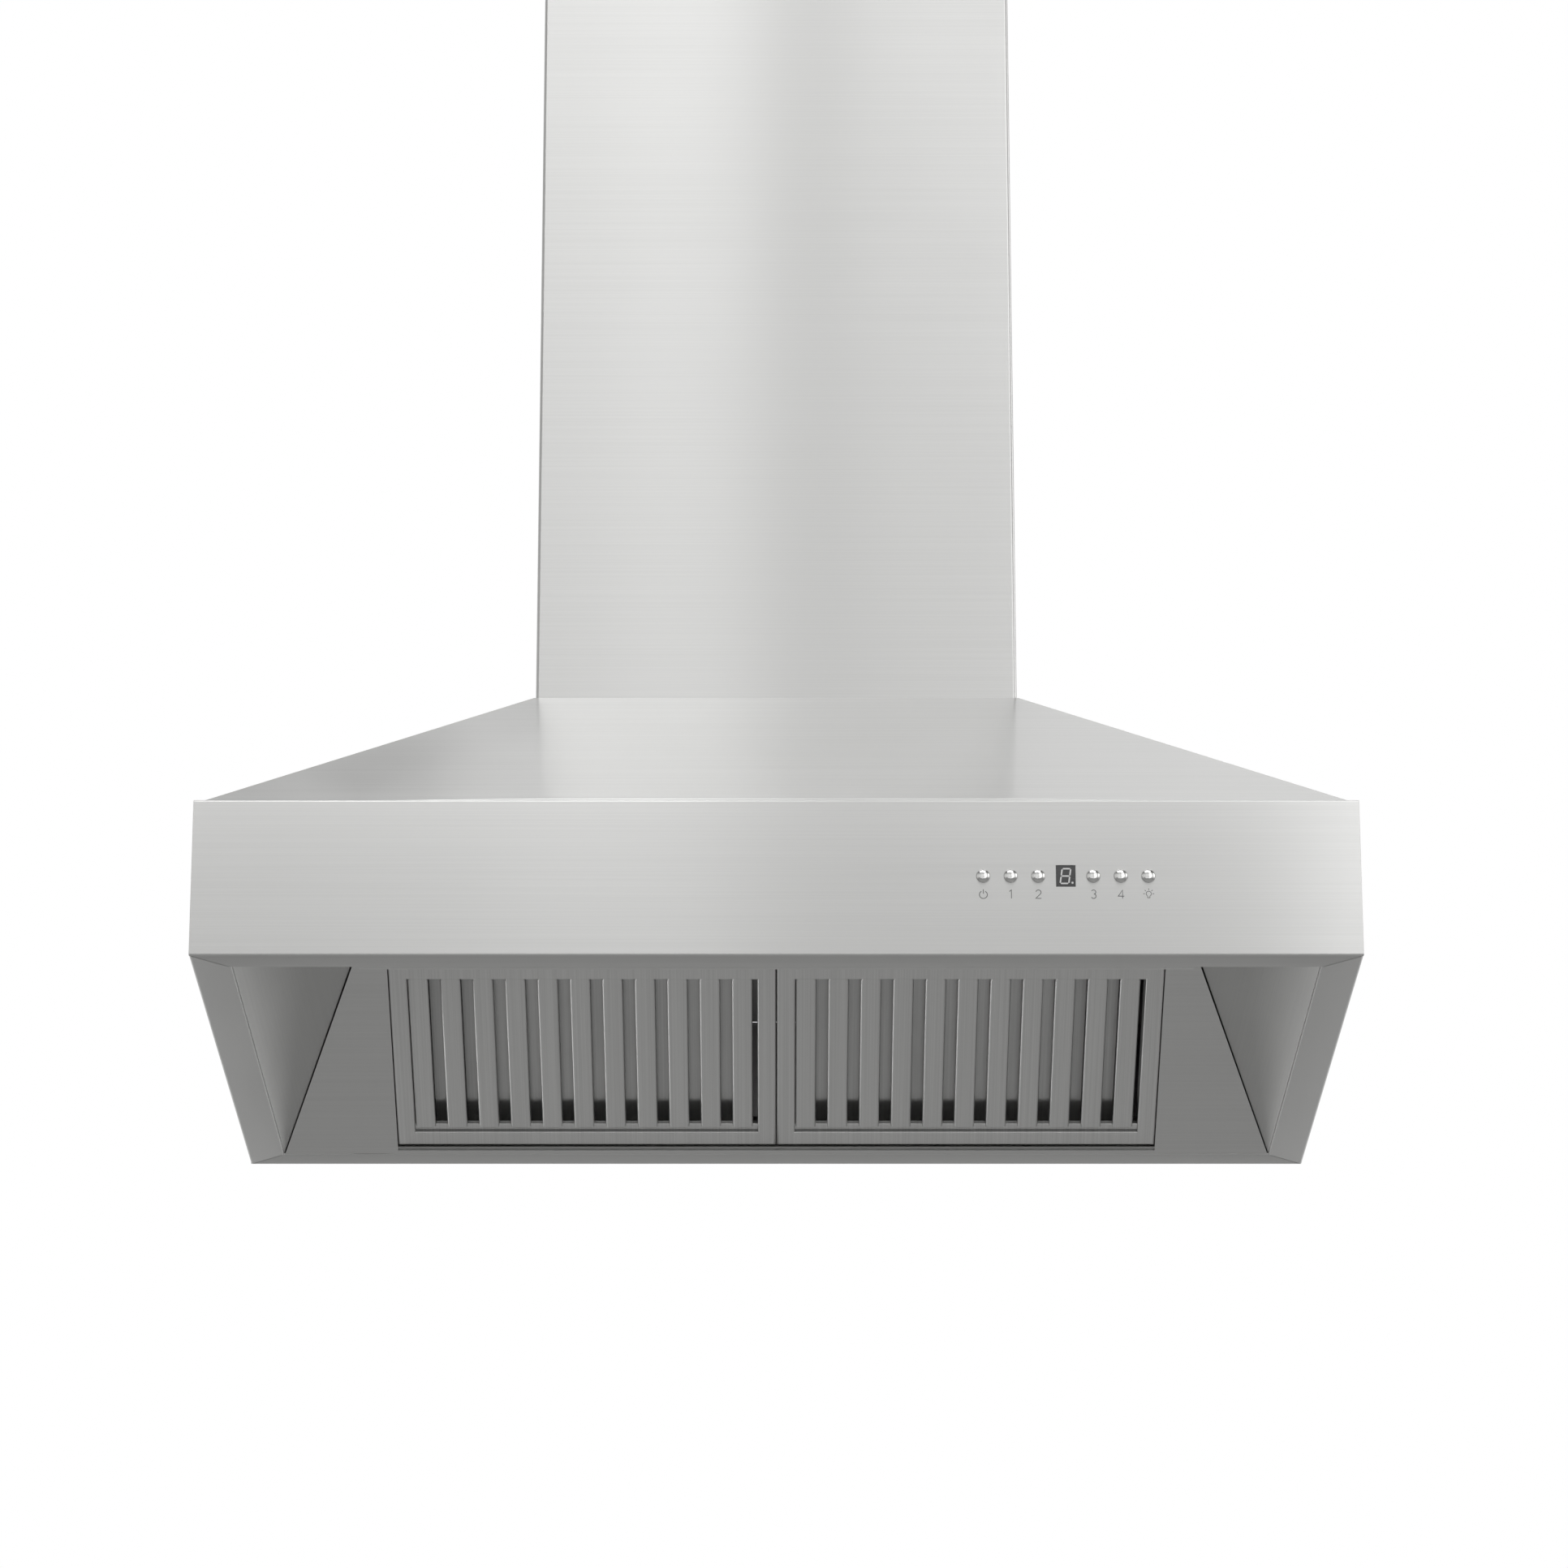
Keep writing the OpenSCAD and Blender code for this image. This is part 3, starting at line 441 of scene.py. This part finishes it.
def long_band(name, turn):
    """Front or rear band, its rim flange mitred at both ends."""
    def ends(p):
        reach = HALF_W - max(0, p[0] - BUTT)
        return [(-reach, -HALF_D + p[0], p[1]), (reach, -HALF_D + p[0], p[1])]
    part = placed(swept(band_profile(), ends), RIM_PLACE @ Matrix.Rotation(turn, 4, "Z"))
    piece = new_object(name, mesh_from(name, *part, smooth=40), STEEL)
    add_bevel(piece, 0.55 * MM, 3, SHARP_FOLD)
    return piece


def short_band(name, side):
    """Left or right band, between the front and rear ones."""
    def ends(p):
        reach = HALF_D - max(BUTT, p[0])
        x = side * (HALF_W - p[0])
        return [(x, -reach, p[1]), (x, reach, p[1])]
    part = placed(swept(band_profile(), ends), RIM_PLACE)
    piece = new_object(name, mesh_from(name, *part, smooth=40), STEEL_SIDE)
    add_bevel(piece, 0.4 * MM, 3, SHARP_FOLD)
    return piece


def cut(piece, cutter_parts, name):
    """Cuts closed shapes out of a piece."""
    mesh = mesh_from(name, *joined(cutter_parts))
    cutter = bpy.data.objects.new(name, mesh)
    bpy.context.scene.collection.objects.link(cutter)
    step = piece.modifiers.new("openings", "BOOLEAN")
    step.operation = "DIFFERENCE"
    step.solver = "EXACT"
    step.object = cutter
    bpy.context.view_layer.update()
    shape = bpy.data.meshes.new_from_object(
        piece.evaluated_get(bpy.context.evaluated_depsgraph_get()))
    piece.modifiers.clear()
    piece.data = shape
    bpy.data.objects.remove(cutter)


BUTTON_BOXES = [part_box(b) for b in BUTTONS]
CONTROL_Z = (BUTTON_BOXES[0][0].z + BUTTON_BOXES[0][1].z) / 2
BUTTON_X = [(box[0].x + box[1].x) / 2 for box in BUTTON_BOXES]
DISPLAY_LOW, DISPLAY_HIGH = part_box("display_module")
DISPLAY_X = (DISPLAY_LOW.x + DISPLAY_HIGH.x) / 2
BUTTON_R, BUTTON_HOLE_R = 5.45 * MM, 5.55 * MM
WINDOW_GAP = 0.1 * MM
NOTCH_LEFT, NOTCH_RIGHT = -366 * MM, -336 * MM


def front_band():
    """The front band with its button holes and display window."""
    piece = long_band("front_band", 0)
    outlines = [circle((x, CONTROL_Z), BUTTON_HOLE_R) for x in BUTTON_X]
    outlines.append(rectangle(DISPLAY_LOW.x - WINDOW_GAP, DISPLAY_LOW.z - WINDOW_GAP,
                              DISPLAY_HIGH.x + WINDOW_GAP, DISPLAY_HIGH.z + WINDOW_GAP))
    front, back = FACE_Y - 2 * MM, FACE_Y + 3 * MM
    cut(piece, [along_y(outline, front, back) for outline in outlines], "band_cutter")
    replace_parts(piece, "front_fascia")


def rear_band():
    """The rear band, with the short notch in its rim's upturned edge."""
    piece = long_band("rear_band", math.pi)
    outline = rectangle(NOTCH_LEFT, BANK_Y - 1 * MM, NOTCH_RIGHT, BANK_Y + 2 * MM)
    cut(piece, [placed(prism(outline, 0.9 * MM, 4 * MM), RIM_PLACE)], "notch_cutter")
    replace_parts(piece, "rear_fascia")


def canopy_slopes():
    """The sloping top: a flat middle and two pressed wings on each long side."""
    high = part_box("canopy_top")[1]
    neck_gap = 1 * MM                     # between the slopes' upper edge and the chimney's face
    wing_drop = 3 * MM                    # the wings are pressed this much lower at the corners
    thick = 1.6 * MM
    rise = (high.z - BAND_TOP) / (high.y - CHIMNEY_Y - neck_gap)
    step = HALF_W - high.x                # the CAD slope starts this far behind the band's face
    foot = LAP + 0.1 * MM
    x, y = HALF_W - foot, HALF_D - foot
    neck_x, neck_y = CHIMNEY_X + neck_gap, CHIMNEY_Y + neck_gap
    crease = neck_x - 10 * MM
    middle = BAND_TOP + (foot - step) * rise
    corner = middle - wing_drop
    outer = [(-x, -y, corner), (-crease, -y, middle), (crease, -y, middle),
             (x, -y, corner), (x, y, corner), (crease, y, middle),
             (-crease, y, middle), (-x, y, corner),
             *[(px, py, high.z) for px, py in rectangle(-neck_x, -neck_y, neck_x, neck_y)]]
    slopes = [(8, 9, 2, 1), (8, 1, 0), (9, 3, 2), (9, 10, 4, 3),
              (10, 11, 6, 5), (10, 5, 4), (11, 7, 6), (11, 8, 0, 7)]
    foot_faces = [(i, (i + 1) % 8, (i + 1) % 8 + 12, i + 12) for i in range(8)]
    neck = [(8 + i, 8 + (i + 1) % 4, 20 + (i + 1) % 4, 20 + i) for i in range(4)]
    inner = [(px, py, pz - thick) for px, py, pz in outer]
    faces = slopes + [tuple(i + 12 for i in f) for f in slopes] + foot_faces + neck
    piece = new_object("canopy_slopes", mesh_from("canopy_slopes", outer + inner, faces), STEEL,
                       replaced=("canopy_top",))
    add_bevel(piece, 0.6 * MM, 3, 20)


front_band()
rear_band()
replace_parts(short_band("left_band", -1), "left_fascia")
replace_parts(short_band("right_band", 1), "right_fascia")
canopy_slopes()


# ---- chimney ------------------------------------------------------------------------------

def chimney_cover(name, node, body):
    """A cover open at the back, folded round its two front corners."""
    low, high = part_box(node)
    fold = 3 * MM
    path = [(low.x, high.y)]
    path += arc((low.x + fold, low.y + fold), fold, 180, 270, 10)
    path += arc((high.x - fold, low.y + fold), fold, 270, 360, 10)
    path += [(high.x, high.y)]
    outline = sheet_outline(path, SHEET)
    piece = new_object(name, mesh_from(name, *prism(outline, low.z, high.z), smooth=30), STEEL,
                       body, replaced=(node,))
    add_bevel(piece, 0.3 * MM, 2, SHARP_FOLD)


chimney_cover("lower_chimney", "lower_chimney_cover", "hood")
chimney_cover("upper_chimney", "upper_chimney_cover", "ceiling_side")


# ---- filters ------------------------------------------------------------------------------

# the CAD's own measures up a bank's slope and out of its face
FRAME_START, FRAME_END, FRAME_WIDTH = 12 * MM, 231.5 * MM, 15.7 * MM
FILTER_T = 20 * MM
SKIN = 0.8 * MM                          # thickness of the filters' sheet
PITCH, BAFFLE_WIDTH, BACK_WIDTH = 27.3 * MM, 17.4 * MM, 22.5 * MM
FRONT_BAFFLES = 11                       # and one back channel behind each gap between them
BAFFLE_SHIFT = 1.9 * MM                  # the baffles' row is this far off the filter's middle
LIP = 10.5 * MM                          # height of a baffle's sides
SILL_LOW, SILL_HIGH = FRAME_START + 13.5 * MM, FRAME_START + 24.7 * MM
SILL_FACE, SILL_BACK = 2.4 * MM, 6 * MM  # depths of the sill's face and of its upper edge's end
SILL_FOLD = 1.2 * MM                     # radius of the sill's upper edge
FRAME_GROWTH = 0.4 * MM                  # a frame reaches this far past the CAD's on each side


def bank_place(turn):
    """A bank's frame: X across, Y up the slope, Z out of its upper face."""
    return (RIM_PLACE @ Matrix.Rotation(math.pi if turn else 0, 4, "Z")
            @ Matrix.Translation((0, -BANK_Y, 0)) @ Matrix.Rotation(TILT, 4, "X"))


def filter_place(which):
    """A filter's frame, centred across, and half its width."""
    low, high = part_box("filter_frame_" + which)
    middle, half = (low.x + high.x) / 2, (high.x - low.x) / 2 + FRAME_GROWTH
    turn = which.startswith("rear")
    return bank_place(turn) @ Matrix.Translation((-middle if turn else middle, 0, 0)), half


def channel(width, up, radius, depth, start, end, taper=0.0, tip=0.0):
    """A bent baffle along the slope, its web at depth and its sides up (1) or down (-1) from it,
    its ends narrowed by taper and its lower tip turned in."""
    def outline(w):
        half = w / 2
        path = [(-half, LIP)] + arc((-half + radius, radius), radius, 180, 270, 6)
        path += arc((half - radius, radius), radius, 270, 360, 6) + [(half, LIP)]
        return sheet_outline(path, SKIN)
    low_end, high_end = 3 * MM, 3.5 * MM  # lengths of the narrowed ends
    stations = [(start, width - taper, tip), (start + low_end, width, 0),
                (end - high_end, width, 0), (end, width - taper, 0)]
    rings = [[(x, s, depth + up * n + inward) for x, n in outline(w)] for s, w, inward in stations]
    count = len(rings[0])
    verts = [p for ring in rings for p in ring]
    faces = [tuple(range(count)), tuple(range(3 * count, 4 * count))]
    for k in range(3):
        faces += [(k * count + i, k * count + (i + 1) % count, (k + 1) * count + (i + 1) % count,
                   (k + 1) * count + i) for i in range(count)]
    return verts, faces


def filter_frame(which):
    """The filter's frame: channels open inward, with curled inner edges, and a sill set back
    behind the lower one, on which the baffles' tips stand."""
    place, half = filter_place(which)
    bend, curl = 2.5 * MM, 2.6 * MM
    path = arc((FRAME_WIDTH - curl, curl), curl, 360, 270, 6)
    path += arc((bend, bend), bend, 270, 180, 6)
    path += arc((bend, FILTER_T - bend), bend, 180, 90, 6) + [(FRAME_WIDTH, FILTER_T)]
    profile = sheet_outline(path[::-1], SKIN)

    def corners(p):
        x, low, high = half - p[0], FRAME_START + p[0], FRAME_END - p[0]
        return [place @ Vector((-x, low, p[1])), place @ Vector((x, low, p[1])),
                place @ Vector((x, high, p[1])), place @ Vector((-x, high, p[1]))]
    reach = half - FRAME_WIDTH - 0.05 * MM
    fold_start = SILL_HIGH - SILL_FOLD
    path = [(SILL_LOW, SILL_FACE + SILL_FOLD), (fold_start, SILL_FACE)]
    path += arc((fold_start, SILL_FACE + SILL_FOLD), SILL_FOLD, 275, 360, 5)
    path += [(SILL_HIGH, SILL_BACK)]
    sill = swept(sheet_outline(path, SKIN), lambda p: [place @ Vector((-reach, *p)),
                                                       place @ Vector((reach, *p))])
    name = "frame_" + which
    shape = joined([mitred_ring(profile, corners), sill])
    new_object(name, mesh_from(name, *shape, smooth=40), BAFFLE,
               "filter_" + which, ("filter_frame_" + which,))


def filter_baffles(which):
    """The front baffles and the back channels behind their gaps."""
    place = filter_place(which)[0]
    web_gap = SKIN + 0.1 * MM             # a web's distance from the filter's face
    front = channel(BAFFLE_WIDTH, 1, 2.4 * MM, web_gap, SILL_HIGH - 5.7 * MM,
                    FRAME_END - FRAME_WIDTH + 1.6 * MM, taper=2.4 * MM, tip=2.2 * MM)
    back = channel(BACK_WIDTH, -1, 1.6 * MM, FILTER_T - web_gap, FRAME_START + 4.8 * MM,
                   FRAME_END - 1.4 * MM)
    parts = []
    for shape, count in ((front, FRONT_BAFFLES), (back, FRONT_BAFFLES - 1)):
        for i in range(count):
            x = (i - (count - 1) / 2) * PITCH + BAFFLE_SHIFT
            parts.append(placed(shape, place @ Matrix.Translation((x, 0, 0))))
    name = "baffles_" + which
    new_object(name, mesh_from(name, *joined(parts), smooth=35), BAFFLE,
               "filter_" + which, ("filter_baffles_" + which,))


for which in FILTER_NODES:
    filter_frame(which)
    filter_baffles(which)


# ---- controls ------------------------------------------------------------------------------

def push_button(node, centre_x):
    """A turned button: a domed crown inside a rounded rim, with its collar and stem."""
    low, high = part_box(node)
    crown, foot = -low.y, -high.y
    face = -FACE_Y
    rim = face + 1.1 * MM
    collar_r, collar_front, collar_back = BUTTON_R + 2 * MM, face - 1.5 * MM, face - 2.7 * MM
    stem_r, axis_r = 2.4 * MM, 0.01 * MM
    profile = [(axis_r, crown), (1.6 * MM, crown - 0.12 * MM), (2.9 * MM, crown - 0.45 * MM),
               (3.7 * MM, crown - 0.85 * MM), (4.35 * MM, crown - 1.3 * MM),
               (4.9 * MM, rim + 0.35 * MM), (5.25 * MM, rim - 0.2 * MM), (BUTTON_R, rim - 0.75 * MM),
               (BUTTON_R, collar_front), (collar_r, collar_front), (collar_r, collar_back),
               (stem_r, collar_back), (stem_r, foot), (axis_r, foot)]
    place = Matrix.Translation((centre_x, 0, CONTROL_Z)) @ Matrix.Rotation(math.pi / 2, 4, "X")
    name = node + "_cap"
    new_object(name, mesh_from(name, *placed(lathe(profile), place), smooth=40), POLISHED,
               name, (node,))


for node, centre_x in zip(BUTTONS, BUTTON_X):
    push_button(node, centre_x)


def stroke(points, width):
    """The four-sided pieces of a printed line of even width through points in X and Z."""
    left, right = [offset_path(points, half, 0.5) for half in (width / 2, -width / 2)]
    return [[left[i], left[i + 1], right[i + 1], right[i]] for i in range(len(points) - 1)]


def flat_piece(name, outlines, front, back, material):
    """A named piece of thin flat shapes in X and Z on the hood."""
    shape = joined([along_y(outline, front, back) for outline in outlines])
    new_object(name, mesh_from(name, *shape), material, "hood")


def digit_segments():
    """The seven slanted bars of the digit, and its point."""
    tall, wide, bar, gap = 13.2 * MM, 6.7 * MM, 1.15 * MM, 0.25 * MM
    slant, point_r = 0.14, 0.85 * MM
    centre_x, centre_z = DISPLAY_X - 0.2 * MM, (DISPLAY_LOW.z + DISPLAY_HIGH.z) / 2
    half = tall / 2

    def slanted(x, z):
        return (centre_x + x + z * slant, centre_z + z)

    def bar_shape(a, b):
        a, b = Vector(a), Vector(b)
        along = (b - a).normalized()
        side = Vector((-along.y, along.x)) * bar / 2
        a, b = a + along * gap, b - along * gap
        tip = along * bar / 2
        return [slanted(*p) for p in (a, a + tip + side, b - tip + side, b, b - tip - side,
                                      a + tip - side)]
    x, z = wide / 2, half - bar / 2
    corners = {"tl": (-x, z), "tr": (x, z), "ml": (-x, 0), "mr": (x, 0), "bl": (-x, -z), "br": (x, -z)}
    bars = [("tl", "tr"), ("ml", "mr"), ("bl", "br"), ("tl", "ml"), ("tr", "mr"), ("ml", "bl"),
            ("mr", "br")]
    shapes = [bar_shape(corners[a], corners[b]) for a, b in bars]
    shapes.append(circle((DISPLAY_X + 5.2 * MM, centre_z - half + 1.1 * MM), point_r, 16))
    front = DISPLAY_LOW.y
    flat_piece("display_segments", shapes, front - 0.12 * MM, front + 0.05 * MM, SEGMENT)


def printed_marks():
    """Generic marks under the buttons: power, the numbers 1 to 4 and a lamp."""
    mark_z = RIM_Z + 50 * MM
    width = 0.62 * MM
    lamp_width = width * 0.8
    lamp_z = 0.4                          # centre of the lamp's bulb

    def at(index, points):
        """Points in millimetres round a mark's centre."""
        return [(BUTTON_X[index] + x * MM, mark_z + z * MM) for x, z in points]
    front, back = FACE_Y - 0.05 * MM, FACE_Y + 0.03 * MM
    ring = arc((0, -0.4), 3.1, 118, 422, 22)
    marks = {
        "mark_power": stroke(at(0, ring), width) + stroke(at(0, [(0, 0.4), (0, 4.0)]), width),
        "mark_1": stroke(at(1, [(-1.2, 2.2), (0.4, 3.5), (0.4, -3.5)]), width),
        "mark_2": stroke(at(2, arc((0, 1.5), 2.0, 165, -30, 10) + [(-2.1, -3.4), (2.2, -3.4)]), width),
        "mark_3": stroke(at(3, arc((0, 1.75), 1.75, 150, -80, 10)), width)
                  + stroke(at(3, arc((0, -1.6), 1.9, 85, -155, 10)), width),
        "mark_4": stroke(at(4, [(1.1, -3.5), (1.1, 3.4), (-2.3, -1.6), (2.4, -1.6)]), width),
        "mark_lamp": stroke(at(5, arc((0, lamp_z), 2.0, -55, 235, 18)), lamp_width)
                     + stroke(at(5, [(-0.9, -1.3), (-0.9, -2.9), (0.9, -2.9), (0.9, -1.3)]),
                              lamp_width),
    }
    rays = zip(arc((0, lamp_z), 3.0, 0, 180, 4), arc((0, lamp_z), 4.3, 0, 180, 4))
    for ray in rays:
        marks["mark_lamp"] += stroke(at(5, ray), lamp_width)
    for name, quads in marks.items():
        flat_piece(name, quads, front, back, PRINT)


digit_segments()
printed_marks()

# ---- stage, lights and camera ---------------------------------------------------------------

CAMERA_BACK = 4.6188          # in front of the band's face
CAMERA_BELOW = 1.4414         # below the rim
CAMERA_PITCH = 18.91
CAMERA_LENS = 142.84          # on a sensor 36 wide
FLOOR_Z = RIM_Z - 6.6
FLOOR_HALF = 33.0


def stage():
    """Pale floor, far below the hanging hood."""
    outline = rectangle(-FLOOR_HALF, -FLOOR_HALF, FLOOR_HALF, FLOOR_HALF)
    shape = prism(outline, FLOOR_Z - 0.02, FLOOR_Z)
    floor = bpy.data.objects.new("floor", mesh_from("floor", *shape))
    bpy.context.scene.collection.objects.link(floor)
    floor.data.materials.append(moulded("pale_floor", (0.78, 0.78, 0.78), (0.82, 0.82, 0.82), 0.8,
                                        grain=40, bump_strength=0.02))


def soft_box(name, centre, target, size, radiance):
    """A soft rectangular light, as bright as radiance, facing a point."""
    data = bpy.data.lights.new(name, "AREA")
    data.shape = "RECTANGLE"
    data.size, data.size_y = size
    data.energy = radiance * size[0] * size[1] * math.pi
    lamp = bpy.data.objects.new(name, data)
    bpy.context.scene.collection.objects.link(lamp)
    lamp.location = Vector(centre) + Vector((0, 0, RIM_Z))
    aim = Vector(target) + Vector((0, 0, RIM_Z)) - lamp.location
    lamp.rotation_euler = aim.to_track_quat("-Z", "Y").to_euler()
    lamp.visible_camera = False


def lights():
    """A dim even room that the camera sees as white, with soft boxes round the hood."""
    world = bpy.data.worlds.new("studio")
    bpy.context.scene.world = world
    world.use_nodes = True
    tree = world.node_tree
    background = tree.nodes["Background"]
    place = tree.nodes.new("ShaderNodeTexCoord")
    split = tree.nodes.new("ShaderNodeSeparateXYZ")
    tree.links.new(place.outputs["Generated"], split.inputs["Vector"])
    node = tree.nodes.new("ShaderNodeMapRange")
    node.inputs["From Min"].default_value = -1.0
    node.inputs["From Max"].default_value = 1.0
    tree.links.new(split.outputs["Z"], node.inputs["Value"])
    sky = ramp(tree, node.outputs["Result"], grey(0.71), grey(0.13), (0.70, 0.90))
    path = tree.nodes.new("ShaderNodeLightPath")
    pick = tree.nodes.new("ShaderNodeMix")
    pick.data_type = "RGBA"
    tree.links.new(path.outputs["Is Camera Ray"], pick.inputs["Factor"])
    tree.links.new(sky, pick.inputs["A"])
    pick.inputs["B"].default_value = (1, 1, 1, 1)
    tree.links.new(pick.outputs["Result"], background.inputs["Color"])
    background.inputs["Strength"].default_value = 1.0
    near = -HALF_D - 2.0
    # centre (height above the rim), target, size (wide, high), radiance; no two in one plane
    soft_box("front_low", (0, near - 0.85, 0.4), (0, 0, 0.4), (7.0, 2.0), 0.12)
    soft_box("front_middle", (-0.27, near - 0.02, 1.5), (-0.27, 0, 1.5), (0.48, 3.8), 0.06)
    soft_box("front_centre", (-0.17, near - 0.04, 1.5), (-0.17, 0, 1.5), (0.28, 3.8), 0.145)
    soft_box("front_right", (1.40, near - 0.02, 0.9), (1.40, 0, 0.9), (1.6, 3.0), 0.68)
    soft_box("front_high", (0.95, near - 0.06, 2.6), (0.95, 0, 2.6), (1.6, 2.2), 0.52)
    soft_box("front_strip", (0, near - 0.6, -0.75), (0, 0, -0.75), (3.4, 0.35), 1.0)
    soft_box("overhead_left", (-0.83, -1.95, 3.2), (-0.83, -1.94, 0), (1.6, 2.1), 3.5)
    soft_box("overhead_right", (0.77, -1.95, 3.2), (0.77, -1.94, 0), (1.6, 2.1), 2.15)
    soft_box("back_overhead", (1.15, 1.5, 3.2), (1.15, 1.49, 0), (3.2, 2.0), 0.58)
    soft_box("back_right", (1.6, 1.5, 3.25), (1.6, 1.49, 0), (2.6, 2.0), 0.80)
    soft_box("low_left", (-2.6, 2.2, -1.1), (0, 0, 0), (2.4, 1.3), 2.2)
    soft_box("right_side", (4.2, -0.4, 1.3), (0, 0, 0.6), (3.0, 2.4), 1.6)


def camera():
    """The camera below and in front of the hood."""
    data = bpy.data.cameras.new("camera")
    data.lens = CAMERA_LENS
    data.sensor_width = 36.0
    data.shift_x = 0.0049
    data.clip_end = 50
    view = bpy.data.objects.new("camera", data)
    bpy.context.scene.collection.objects.link(view)
    view.location = (0, FACE_Y - CAMERA_BACK, RIM_Z - CAMERA_BELOW)
    view.rotation_euler = (math.radians(90 + CAMERA_PITCH), 0, 0)
    bpy.context.scene.camera = view


stage()
lights()
camera()
bpy.context.scene.view_settings.view_transform = "Standard"
